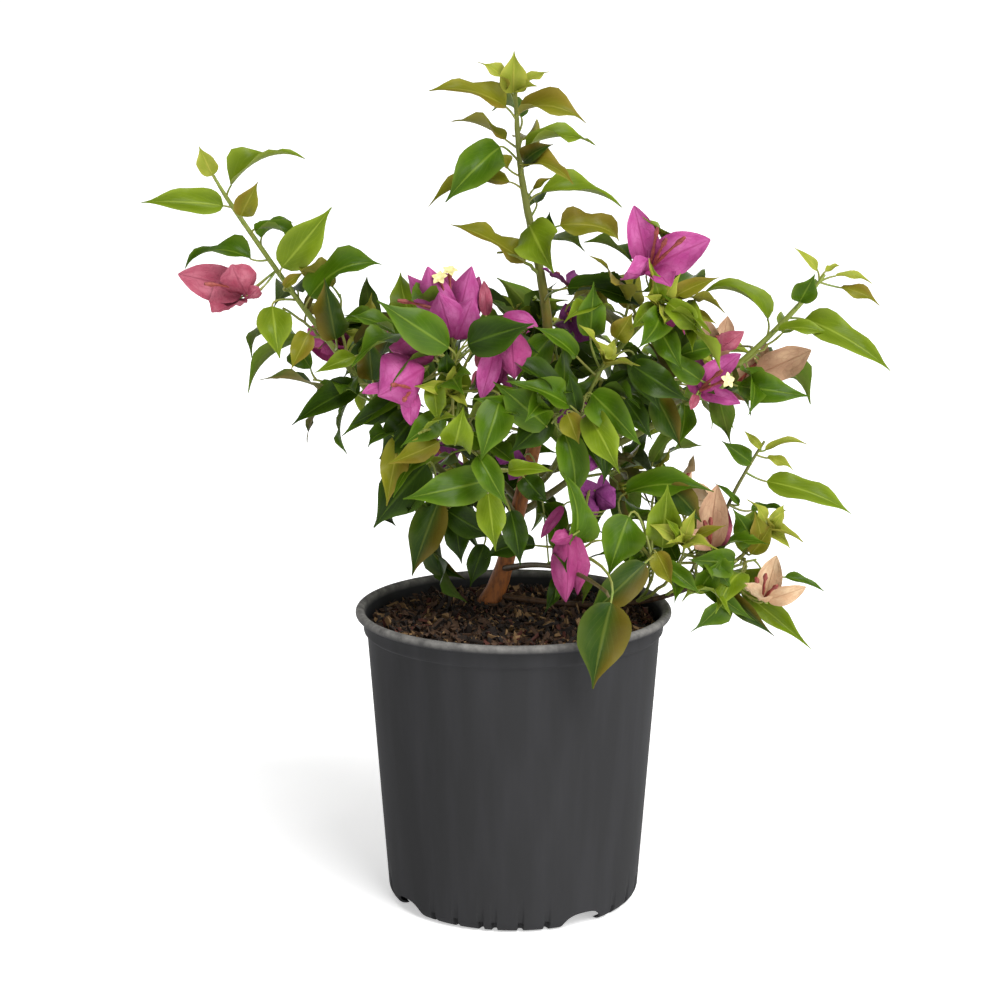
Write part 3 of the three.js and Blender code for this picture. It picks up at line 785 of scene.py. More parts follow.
# The leaves that show best, by the limb they grow on: kind, foot and tip of the blade in mm,
# arch in radians, how far the upper face turns from the sky to the front, and width to length.
SHOWN_LEAVES = {
    "trunk": [
        ("olive", (-4, 22, 410), (-43, 10, 418), 1.1, 0.5, 0.44),
        ("olive", (3, 24, 407), (36, 12, 402), 1.7, 0.5, 0.5),
        ("olive", (-4, 30, 393), (-35, 44, 401), 0.8, 0.1, 0.4),
        ("fresh", (6, 28, 390), (42, 38, 390), 1.2, 0.4, 0.44),
        ("green", (-7, 22, 390), (-34, 6, 363), 1.6, 0.8, 0.5),
        ("bronzed", (5, 22, 382), (20, 12, 391), 0.9, 0.6, 0.7),
        ("olive", (-2, 24, 372), (-44, 22, 359), 1.2, 0.3, 0.42),
        ("olive", (5, 20, 380), (30, 0, 373), 1.3, 0.3, 0.5),
        ("fresh", (14, 30, 366), (57, 44, 356), 1.0, 0.35, 0.42),
        ("olive", (6, 24, 331), (-32, 14, 352), 0.5, 0.45, 0.42),
        ("olive", (24, 32, 349), (55, 42, 339), 1.5, 0.5, 0.52),
        ("deep", (16, 27, 343), (19, 22, 357), 0.6, 0.8, 0.7),
        ("fresh", (8, 20, 350), (20, 0, 328), 1.0, 1.0, 0.8),
        ("olive", (-3, 24, 379), (-14, 18, 387), 0.8, 0.5, 0.6),
        ("olive", (10, 26, 368), (20, 24, 374), 0.6, 0.5, 0.5),
        ("young", (0, 24, 417), (-1, 18, 438), 0.7, 1.1, 0.75),
        ("young", (-2, 24, 419), (-19, 16, 432), 1.2, 0.5, 0.45),
        ("young", (2, 28, 419), (20, 34, 426), 0.9, 0.4, 0.45),
        ("young", (2, 22, 418), (12, 12, 421), 0.7, 0.6, 0.6),
        ("green", (12, 38, 360), (4, 74, 350), 1.2, -0.4, 0.5),
        ("olive", (4, 36, 392), (14, 68, 384), 1.2, -0.4, 0.5),
        ("green", (4, 34, 404), (-12, 62, 406), 1.2, -0.4, 0.46),
        ("green", (14, 36, 338), (40, 70, 332), 1.1, -0.4, 0.5),
        ("deep", (27, 2, 320), (66, -6, 309), 1.3, 0.5, 0.46),
    ],
    "left_bough": [
        ("fresh", (-146, 0, 362), (-186, -8, 365), 0.5, 0.7, 0.5),
        ("young", (-151, 0, 377), (-157, -4, 392), 0.3, 1.0, 0.7),
        ("fresh", (-142, 0, 372), (-105, 8, 384), 1.6, 0.3, 0.4),
        ("olive", (-137, -3, 357), (-128, -10, 375), 0.4, 1.0, 0.64),
        ("green", (-131, 0, 350), (-110, 6, 339), 2.1, 0.4, 0.4),
        ("fresh", (-117, -2, 331), (-90, -8, 361), 0.3, 0.9, 0.56),
        ("olive", (-116, -2, 321), (-106, -4, 330), 0.6, 0.6, 0.5),
        ("green", (-133, 2, 335), (-167, 8, 329), 1.7, 0.3, 0.44),
        ("fresh", (-122, -5, 312), (-117, -14, 287), 1.3, 0.9, 0.7),
        ("olive", (-104, -5, 298), (-112, -12, 281), 0.8, 0.9, 0.64),
        ("green", (-103, -2, 316), (-68, 6, 333), 1.6, 0.4, 0.5),
        ("bronzed", (-90, -5, 295), (-95, -12, 327), 0.4, 1.0, 0.6),
        ("green", (-86, 0, 305), (-58, -2, 297), 0.7, 0.4, 0.42),
        ("fresh", (-80, -8, 287), (-100, -14, 279), 0.5, 0.7, 0.5),
        ("green", (-128, 8, 345), (-116, 34, 350), 1.0, -0.3, 0.5),
        ("deep", (-110, 8, 318), (-122, 34, 306), 1.2, -0.3, 0.5),
    ],
    "left_stem": [
        ("green", (-32, -40, 296), (-68, -48, 318), 0.6, 0.8, 0.5),
        ("green", (-57, -10, 298), (-86, -14, 308), 0.7, 0.4, 0.42),
        ("bronzed", (-71, -18, 276), (-73, -20, 299), 0.4, 1.0, 0.7),
        ("deep", (-59, -20, 265), (-82, -22, 255), 0.7, 0.8, 0.6),
        ("green", (-52, -18, 274), (-86, -20, 247), 0.4, 0.7, 0.4),
        ("deep", (-78, -6, 272), (-114, -8, 254), 0.6, 0.7, 0.5),
        ("olive", (-57, -32, 250), (-64, -38, 216), 0.9, 0.9, 0.46),
        ("deep", (-48, -28, 262), (-66, -34, 238), 0.8, 0.9, 0.7),
    ],
    "front_left_stem": [
        ("deep", (-23, -38, 297), (9, -46, 310), 0.7, 0.8, 0.62),
        ("green", (-34, -38, 262), (-56, -46, 249), 0.5, 0.8, 0.56),
        ("olive", (-37, -40, 249), (-62, -46, 237), 0.4, 0.8, 0.46),
        ("fresh", (-29, -50, 249), (-25, -58, 269), 2.0, 0.9, 0.72),
        ("green", (-7, -46, 271), (-17, -58, 243), 1.1, 1.0, 0.62),
        ("fresh", (-40, -38, 278), (-37, -46, 259), 0.8, 0.9, 0.6),
        ("deep", (-33, -34, 282), (-34, -38, 294), 0.5, 1.0, 0.8),
        ("green", (16, -42, 257), (-9, -50, 282), 0.6, 0.9, 0.56),
        ("green", (4, -40, 264), (-22, -50, 272), 0.8, 0.7, 0.42),
    ],
    "low_left_stem": [
        ("deep", (-44, -20, 234), (-74, -26, 205), 0.6, 0.9, 0.64),
        ("bronzed", (-38, -14, 214), (-54, -18, 176), 0.6, 0.9, 0.52),
        ("deep", (-15, -6, 189), (-24, -10, 168), 0.4, 1.0, 0.6),
        ("deep", (-34, -12, 208), (-10, -14, 193), 0.8, 0.9, 0.6),
        ("deep", (-30, -8, 204), (-27, -12, 180), 0.7, 1.0, 0.6),
    ],
    "front_low_stem": [
        ("green", (-12, -46, 231), (-54, -58, 221), 0.6, 0.8, 0.5),
        ("fresh", (-13, -50, 225), (-9, -56, 197), 0.5, 1.0, 0.56),
        ("green", (-18, -55, 245), (-4, -62, 221), 1.1, 0.8, 0.5),
        ("fresh", (-3, -50, 236), (19, -56, 237), 0.9, 0.6, 0.5),
        ("deep", (5, -40, 231), (16, -46, 218), 0.7, 0.9, 0.8),
        ("deep", (-2, -40, 214), (6, -46, 188), 0.7, 0.9, 0.5),
    ],
    "centre_stem": [
        ("green", (31, -30, 290), (9, -38, 306), 0.9, 0.6, 0.5),
        ("green", (38, -22, 299), (39, -28, 327), 0.5, 1.0, 0.56),
        ("olive", (51, -24, 298), (58, -28, 312), 1.0, 0.9, 0.8),
        ("deep", (58, -38, 287), (85, -44, 269), 0.7, 0.9, 0.52),
        ("deep", (60, -22, 290), (74, -26, 262), 0.6, 0.9, 0.5),
    ],
    "centre_low_stem": [
        ("green", (27, -44, 268), (-4, -54, 281), 0.9, 0.6, 0.44),
        ("green", (38, -46, 274), (62, -58, 251), 0.9, 0.8, 0.6),
        ("fresh", (36, -48, 264), (53, -62, 238), 1.2, 0.8, 0.52),
        ("deep", (31, -40, 264), (27, -46, 286), 0.3, 1.0, 0.42),
        ("olive", (26, -46, 264), (32, -52, 250), 0.5, 0.9, 0.8),
        ("deep", (55, -30, 269), (69, -34, 249), 0.6, 0.8, 0.5),
        ("deep", (18, -38, 262), (-2, -46, 244), 0.7, 0.9, 0.62),
    ],
    "upper_right_stem": [
        ("fresh", (76, -24, 316), (95, -30, 301), 0.9, 0.8, 0.56),
        ("olive", (79, -20, 318), (101, -22, 330), 0.4, 0.6, 0.44),
        ("fresh", (70, -22, 315), (57, -28, 303), 0.7, 0.8, 0.56),
        ("fresh", (73, -22, 317), (66, -26, 335), 0.4, 1.0, 0.5),
        ("green", (72, -20, 304), (82, -28, 282), 0.8, 0.9, 0.6),
        ("olive", (84, -18, 312), (102, -20, 306), 0.5, 0.7, 0.4),
    ],
    "right_stem": [
        ("green", (113, -10, 272), (149, -14, 265), 0.5, 0.7, 0.5),
        ("green", (94, -18, 276), (72, -22, 291), 0.6, 0.8, 0.5),
        ("green", (84, -12, 288), (106, -14, 296), 0.6, 0.8, 0.5),
        ("bronzed", (71, -20, 268), (86, -28, 245), 0.6, 0.9, 0.6),
    ],
    "right_bough": [
        ("young", (154, 5, 329), (141, 0, 341), 0.7, 0.6, 0.32),
        ("green", (145, 2, 313), (150, -8, 329), 0.4, 1.0, 0.74),
        ("young", (163, 5, 326), (183, 10, 322), 0.8, 0.4, 0.34),
        ("olive", (166, 6, 320), (186, 4, 311), 1.0, 0.5, 0.42),
        ("fresh", (148, 4, 304), (191, -10, 281), 0.8, 0.6, 0.4),
        ("fresh", (134, 0, 299), (161, -4, 297), 0.9, 0.4, 0.4),
        ("fresh", (130, 10, 303), (96, 16, 314), 2.1, 0.4, 0.44),
        ("young", (158, 6, 328), (166, 12, 331), 0.6, 0.6, 0.5),
        ("green", (150, 10, 318), (158, 26, 318), 1.0, -0.3, 0.5),
    ],
    "low_right_shoot": [
        ("fresh", (131, 8, 219), (174, 2, 202), 0.9, 0.5, 0.38),
        ("green", (123, 8, 229), (107, 4, 241), 0.3, 0.8, 0.56),
        ("young", (128, 10, 236), (119, 10, 246), 0.5, 0.7, 0.42),
        ("young", (130, 10, 235), (153, 14, 237), 1.1, 0.3, 0.3),
        ("young", (131, 10, 231), (145, 6, 226), 1.1, 0.5, 0.42),
        ("green", (117, 8, 207), (104, 4, 220), 0.4, 0.6, 0.32),
        ("green", (123, 6, 204), (142, 10, 203), 0.8, 0.3, 0.42),
    ],
    "low_front_stem": [
        ("green", (57, -16, 218), (101, -22, 224), 1.0, 0.5, 0.42),
        ("fresh", (75, -28, 192), (76, -34, 226), 0.3, 1.0, 0.6),
        ("bronzed", (78, -24, 223), (97, -28, 208), 0.6, 0.9, 0.7),
        ("green", (57, -44, 212), (44, -52, 185), 0.6, 1.0, 0.76),
        ("bronzed", (65, -52, 190), (35, -62, 163), 0.6, 0.8, 0.46),
        ("olive", (71, -42, 193), (80, -48, 178), 0.7, 0.9, 0.7),
        ("green", (64, -24, 190), (50, -28, 202), 0.7, 0.8, 0.7),
        ("green", (74, -36, 186), (94, -42, 172), 0.6, 0.7, 0.5),
    ],
    "low_middle_stem": [
        ("olive", (91, -34, 199), (106, -38, 206), 0.7, 0.6, 0.42),
        ("fresh", (84, -34, 198), (75, -38, 209), 0.5, 0.7, 0.42),
        ("green", (112, -24, 184), (88, -32, 186), 0.7, 0.9, 0.7),
        ("green", (94, -28, 170), (104, -32, 188), 0.4, 1.0, 0.64),
        ("green", (98, -26, 190), (110, -30, 170), 0.7, 0.9, 0.6),
    ],
    "low_end_stem": [
        ("green", (125, -8, 187), (114, -12, 210), 0.4, 1.0, 0.6),
        ("olive", (127, -10, 190), (125, -14, 208), 0.6, 0.9, 0.6),
        ("young", (132, -10, 197), (141, -16, 189), 1.3, 0.6, 0.56),
        ("young", (131, -10, 196), (138, -14, 209), 0.7, 0.8, 0.5),
        ("olive", (122, -8, 184), (134, -14, 202), 0.5, 0.9, 0.5),
    ],
    "low_tip_stem": [
        ("fresh", (117, -6, 165), (154, -12, 135), 0.3, 0.7, 0.34),
        ("green", (96, -14, 171), (122, -18, 149), 0.2, 0.7, 0.3),
        ("bronzed", (104, -10, 167), (135, -14, 143), 0.2, 0.7, 0.32),
        ("green", (141, 4, 169), (162, 2, 162), 0.5, 0.4, 0.36),
        ("fresh", (121, -4, 166), (129, -10, 179), 0.5, 1.0, 0.9),
    ],
    "hanging_stem": [
        ("bronzed", (47, -80, 177), (35, -90, 137), 0.3, 1.0, 0.7),
        ("deep", (24, -40, 182), (16, -46, 163), 0.5, 1.0, 0.44),
        ("green", (27, -40, 182), (19, -46, 167), 0.5, 0.7, 0.3),
    ],
}


def grow_shown(limb, kind, foot, tip, arch, to_front, slim, rng):
    """Grows one leaf of the table, on a stalk from the nearest place of its limb."""
    foot, tip = np.array(foot) * mm, np.array(tip) * mm
    points, _ = limbs[limb]
    nearest = int(np.argmin(np.linalg.norm(points - foot, axis=1)))
    start = points[max(nearest - 1, 0)]
    facing = (1 - abs(to_front)) * UP + to_front * VIEWER
    along, up, length = towards_tip(foot, tip, arch, facing)
    reach = np.linalg.norm(foot - start)
    run = curve(start, foot - along * reach * 0.4, foot + along * 0.5 * mm, 8)
    twig_runs.append((run, np.linspace(0.6 * mm + 0.008 * reach, 0.5 * mm, 8)))
    fold = (0.2, 0.5) if abs(to_front) > 0.75 else (0.4, 0.8)
    bend, fold, cup, wave, phase, _ = leaf_bends(rng, fold)
    bends = (bend * 0.4, fold, cup, wave, phase, rng.normal(0, 0.22))
    leaf_rows[kind].append(blade_row(foot, along, up, (length, length * slim, arch), bends))


SHOWN_LEAF_SEED = 95
rng = np.random.default_rng(SHOWN_LEAF_SEED)
for limb, leaves in SHOWN_LEAVES.items():
    for leaf in leaves:
        grow_shown(limb, *leaf, rng)

# Masses that side shoots fill: the bough that feeds it, the shares of the bough between
# which they leave, how many shoots, leaves on each and the kinds of leaf.
FED_MASSES = {
    "left_shoulder_leaves": ("left_bough", (0.3, 0.5), 3, 3, ["green", "green", "bronzed"]),
    "left_lower_leaves": ("left_bough", (0.45, 0.6), 2, 3, ["green", "olive", "bronzed"]),
    "front_left_leaves": ("front_left_bough", (0.6, 1.0), 4, 3, ["green", "deep", "deep"]),
    "front_centre_leaves": ("front_left_bough", (0.35, 0.8), 4, 3, ["fresh", "green", "deep"]),
    "low_left_leaves": ("low_left_bough", (0.3, 1.0), 3, 3, ["deep", "deep", "bronzed"]),
    "centre_leaves": ("front_right_bough", (0.45, 1.0), 5, 3, ["green", "deep", "green"]),
    "upper_right_leaves": ("upper_right_bough", (0.4, 1.0), 4, 4, ["fresh", "green", "olive"]),
    "right_centre_leaves": ("right_bough", (0.3, 0.55), 3, 3, ["green", "green", "bronzed"]),
    "right_middle_leaves": ("right_bough", (0.55, 0.75), 2, 2, ["fresh", "green"]),
    "low_front_leaves": ("low_front_bough", (0.3, 0.75), 2, 3, ["green", "deep"]),
    "low_right_leaves": ("low_right_bough", (0.35, 0.75), 4, 4, ["green", "fresh", "green"]),
    "low_right_end_leaves": ("low_right_bough", (0.7, 0.95), 2, 3, ["green", "fresh"]),
    "inner_leaves": ("trunk", (0.3, 0.55), 5, 4, ["deep", "deep", "green"]),
    "back_left_leaves": ("back_left_bough", (0.5, 1.0), 7, 5, ["green", "deep", "fresh"]),
    "back_leaves": ("back_bough", (0.5, 1.0), 7, 5, ["green", "deep", "fresh"]),
    "back_right_leaves": ("back_right_bough", (0.5, 1.0), 6, 4, ["green", "deep", "fresh"]),
    "back_low_leaves": ("back_low_bough", (0.4, 1.0), 6, 4, ["deep", "green"]),
    "back_low_right_leaves": ("back_right_bough", (0.2, 0.5), 4, 4, ["deep", "green", "bronzed"]),
}
GOLDEN_TURN = math.pi * (3 - math.sqrt(5))
SHOOT_FILL = 0.5  # share of the half box that the shoots' tips reach
LEAF_LENGTH = 36 * mm
FILL_SEED = 200

for seed, (mass, (feeder, leaving, count, leaves, kinds)) in enumerate(FED_MASSES.items()):
    rng = np.random.default_rng(FILL_SEED + seed)
    low, high = (np.array(corner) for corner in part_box(mass))
    for k in range(count):
        rise = 0.9 - 1.25 * (k + 0.5) / count
        turn = k * GOLDEN_TURN + 0.7 * seed
        flat = math.sqrt(1 - rise * rise)
        way = np.array([math.cos(turn) * flat, math.sin(turn) * flat, rise])
        tip = (low + high) / 2 + way * (high - low) / 2 * SHOOT_FILL
        share = leaving[0] + (leaving[1] - leaving[0]) * (k + 0.5) / count
        shoot = side_shoot(limbs[feeder], share, tip, 1 * mm, rng)
        first = rng.uniform(0, ROUND)
        for step in range(leaves):
            at_share = 0.3 + 0.65 * step / max(leaves - 1, 1)
            _, ahead, _ = on_limb(shoot, at_share)
            side = unit(np.cross(ahead, (0.1, 0.2, 1)))
            depth = np.cross(ahead, side)
            angle = first + LEAF_TURN * step
            out = side * math.cos(angle) + depth * math.sin(angle) + 0.5 * way
            length = LEAF_LENGTH * (1.1 - 0.3 * step / leaves) * rng.uniform(0.8, 1.12)
            sprout(shoot, at_share, out, rng.choice(kinds), length, rng)
        if mass.startswith("back"):
            rosette(shoot, rng, 3, 15 * mm)

# ---------------------------------------------------------------------------------------
# Leaves. Ovate blades with a drawn-out tip, folded a little along a pale midrib, arched over
# and glossy above, duller and paler below. Each is a thin closed blade of two sheets.

LEAF_STATIONS = 14
LEAF_ACROSS = np.array([-1, -0.5, 0, 0.5, 1])
BLADE_THICKNESS = 0.35 * mm


def blade_quads(stations, across):
    """Quads of a closed blade: a top sheet, and an under sheet that shares its margin."""
    top = np.arange(stations * across).reshape(stations, across)
    under = top.copy()
    inner = (stations - 2) * (across - 2)
    under[1:-1, 1:-1] = stations * across + np.arange(inner).reshape(stations - 2, across - 2)
    quads = []
    for sheet, order in ((top, (0, 1, 2, 3)), (under, (0, 3, 2, 1))):
        four = np.stack([sheet[:-1, :-1], sheet[:-1, 1:], sheet[1:, 1:], sheet[1:, :-1]], -1)
        quads.append(four.reshape(-1, 4)[:, order])
    return quads, stations * across + inner


def blades(rows, outline, stations, across, thickness, crinkle=0.0):
    """Points, quads, uvs and slots of many blades, one for each row."""
    rows = np.array(rows)
    base, along, up = rows[:, None, 0:3], rows[:, None, 3:6], rows[:, None, 6:9]
    length, width, arch, bend, fold, cup, wave, phase, twist = rows[:, 9:18].T[:, :, None]
    even = np.linspace(0, 1, stations)
    u = 0.6 * even + 0.4 * (0.5 - 0.5 * np.cos(math.pi * even))
    side = unit(np.cross(up, along))
    up = np.cross(along, side)
    turn, veer = (arch * u**ARCH_GROWTH)[..., None], (bend * u)[..., None]
    heading = along * np.cos(veer) + side * np.sin(veer)
    forward = heading * np.cos(turn) - up * np.sin(turn)
    steps = (forward[:, 1:] + forward[:, :-1]) / 2 * (length * np.diff(u))[..., None]
    spine = base + np.concatenate([np.zeros_like(base), np.cumsum(steps, 1)], 1)
    normal = up * np.cos(turn) + heading * np.sin(turn)
    cross = np.cross(normal, forward)
    roll = (twist * u)[..., None]
    cross, normal = cross * np.cos(roll) + normal * np.sin(roll), normal * np.cos(roll) - cross * np.sin(roll)
    half = (outline(u) * width / 2)[..., None]
    v = across[None, None]
    ripple = np.sin(10 * u + phase)[..., None] * np.sign(v) + 0.7 * np.cos(8 * u + 2 * phase)[..., None]
    lift = half * (np.sin(fold)[..., None] * np.abs(v) - cup[..., None] * v**2)
    lift = lift + half * wave[..., None] * v**2 * ripple
    if crinkle:
        fine = np.sin(23 * u + 5 * phase)[..., None] * np.cos(6.5 * v + phase[..., None])
        lift = lift + crinkle * fine * half / half.max()
    spread = half * v * np.cos(fold)[..., None]
    top = spine[:, :, None] + spread[..., None] * cross[:, :, None] + lift[..., None] * normal[:, :, None]
    under = top[:, 1:-1, 1:-1] - thickness * normal[:, 1:-1, None]
    count = len(rows)
    points = np.concatenate([top.reshape(count, -1, 3), under.reshape(count, -1, 3)], 1)
    (top_quads, under_quads), per_blade = blade_quads(stations, len(across))
    quads = np.concatenate([top_quads, under_quads])
    grid = np.stack(np.broadcast_arrays((across + 1) / 2, u[:, None]), -1) * 0.98 + 0.01
    uv = np.concatenate([grid.reshape(-1, 2), grid[1:-1, 1:-1].reshape(-1, 2)])[quads].reshape(-1, 2)
    slots = np.repeat([0, 1], [len(top_quads), len(under_quads)])
    all_quads = (quads[None] + per_blade * np.arange(count)[:, None, None]).reshape(-1, 4)
    return points.reshape(-1, 3), all_quads, np.tile(uv, (count, 1)), np.tile(slots, count)


def leaf_outline(u):
    """Half width along a leaf: rounded base, widest at a third, long pointed tip."""
    shape = u**0.55 * (1 - u) ** 0.95 / 0.4
    return np.maximum(shape * (1 - 0.6 * np.clip((u - 0.58) / 0.3, 0, 1)), 0.03)


def leaf_surface(name, main, second, rib_and_edge_highlight, roughness, margin=None):
    """Leaf tissue: two close greens in soft patches, a pale midrib, side veins, and a painted highlight along
    the margin.
    """
    material, tree, shader = surface(
        name, {"Roughness": roughness, "IOR": 1.45, "Specular IOR Level": 0.13}
    )
    over = add(tree, "UVMap", uv_map="OFBake").outputs[0]
    place = add(tree, "SeparateXYZ", {"Vector": over})
    from_middle = add(tree, "Math", {0: place.outputs["X"], 1: 0.5}, operation="SUBTRACT")
    aside = add(tree, "Math", {0: from_middle.outputs[0]}, operation="ABSOLUTE")
    patches = add(tree, "TexNoise", {"Vector": over, "Scale": 2.2, "Detail": 2})
    patch_amount = add(
        tree, "MapRange", {"Value": patches.outputs["Fac"], "From Min": 0.35, "From Max": 0.7}
    )
    tissue = add(tree, "Mix", data_type="RGBA")
    tree.links.new(patch_amount.outputs[0], tissue.inputs["Factor"])
    tissue.inputs[6].default_value = paint(main)
    tissue.inputs[7].default_value = paint(second)
    colour = tissue.outputs[2]
    if margin:
        edge = add(
            tree, "MapRange", {"Value": place.outputs["X"], "From Min": 0.52, "From Max": 0.95}
        )
        edge_mix = add(tree, "Mix", data_type="RGBA")
        tree.links.new(edge.outputs[0], edge_mix.inputs["Factor"])
        tree.links.new(colour, edge_mix.inputs[6])
        edge_mix.inputs[7].default_value = paint(margin)
        colour = edge_mix.outputs[2]
    midrib = add(
        tree,
        "MapRange",
        {"Value": aside.outputs[0], "From Min": 0.012, "From Max": 0.045, "To Min": 1, "To Max": 0},
    )
    slant = add(tree, "Math", {0: aside.outputs[0], 1: -1.3, 2: place.outputs["Y"]}, operation="MULTIPLY_ADD")
    row = add(tree, "Math", {0: slant.outputs[0], 1: 2 * math.pi * 7}, operation="MULTIPLY")
    vein_wave = add(tree, "Math", {0: row.outputs[0]}, operation="SINE")
    veins = add(
        tree, "MapRange", {"Value": vein_wave.outputs[0], "From Min": 0.8, "From Max": 1, "To Max": 0.18}
    )
    ribs = add(tree, "Math", {0: midrib.outputs[0], 1: veins.outputs[0]}, operation="MAXIMUM")
    faint = add(tree, "Math", {0: ribs.outputs[0], 1: 0.55}, operation="MULTIPLY")
    # Paler towards the margin: a painted highlight along the edge of the blade.
    painted_edge_highlight = add(
        tree, "MapRange", {"Value": aside.outputs[0], "From Min": 0.28, "From Max": 0.5, "To Max": 0.4}
    )
    veins_and_edge_highlight = add(tree, "Math", {0: faint.outputs[0], 1: painted_edge_highlight.outputs[0]}, operation="MAXIMUM")
    ribbed = add(tree, "Mix", data_type="RGBA")
    tree.links.new(veins_and_edge_highlight.outputs[0], ribbed.inputs["Factor"])
    tree.links.new(colour, ribbed.inputs[6])
    ribbed.inputs[7].default_value = paint(rib_and_edge_highlight)
    tree.links.new(ribbed.outputs[2], shader.inputs["Base Color"])
    bump = add(
        tree, "Bump", {"Height": ribs.outputs[0], "Strength": 0.5, "Distance": 0.25 * mm}, invert=True
    )
    tree.links.new(bump.outputs[0], shader.inputs["Normal"])
    return material


# Leaf tissue is waxy: deep green in old leaves and, as painted shade, in leaves set inside and
# low in the crown; yellow-green in young ones; bronze along one side of some. The last colour
# is that of the underside.
LEAF_KINDS = {
    "deep": ("#1e3103", "#2b4306", "#4c6418", 0.3, None, "#3f4d1a"),
    "green": ("#375206", "#45640a", "#73892c", 0.3, None, "#5c6a26"),
    "fresh": ("#586d0d", "#6b7f16", "#94a43a", 0.32, None, "#7a862e"),
    "olive": ("#696c12", "#78761c", "#96903a", 0.36, "#74621e", "#767232"),
    "young": ("#848f2a", "#94983a", "#b2ac48", 0.38, None, "#948c34"),
    "bronzed": ("#213908", "#35490d", "#5e6828", 0.34, "#604c14", "#66592a"),
}
for kind, (main, second, rib_and_edge_highlight, roughness, margin, below) in LEAF_KINDS.items():
    upper_side = leaf_surface(f"waxy_leaf_{kind}", main, second, rib_and_edge_highlight, roughness, margin)
    under_side = leaf_surface(f"leaf_underside_{kind}", below, second, rib_and_edge_highlight, 0.6)
    part = blades(leaf_rows[kind], leaf_outline, LEAF_STATIONS, LEAF_ACROSS, BLADE_THICKNESS)
    leaf_piece = joined(f"leaves_{kind}", [part], [upper_side, under_side], crease=100)
    if kind == "green":
        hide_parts(*[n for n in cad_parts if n.endswith("_leaves")])

# ---------------------------------------------------------------------------------------
# Blooms. Three papery bracts, creased along their veins, round three narrow tubes; some
# tubes have opened into a small cream star. Old bracts fade to salmon and tan.

BRACT_STATIONS = 12
BRACT_ACROSS = np.linspace(-1, 1, 7)
BRACT_THICKNESS = 0.25 * mm
BRACT_CRINKLE = 0.9 * mm
STAR_PETAL = (4.6 * mm, 3.4 * mm, 0.3)  # length, width and curl
bract_rows = {kind: [] for kind in ("magenta", "deep_pink", "purple", "dusty", "salmon", "peach")}
star_rows = []
flower_tubes = []

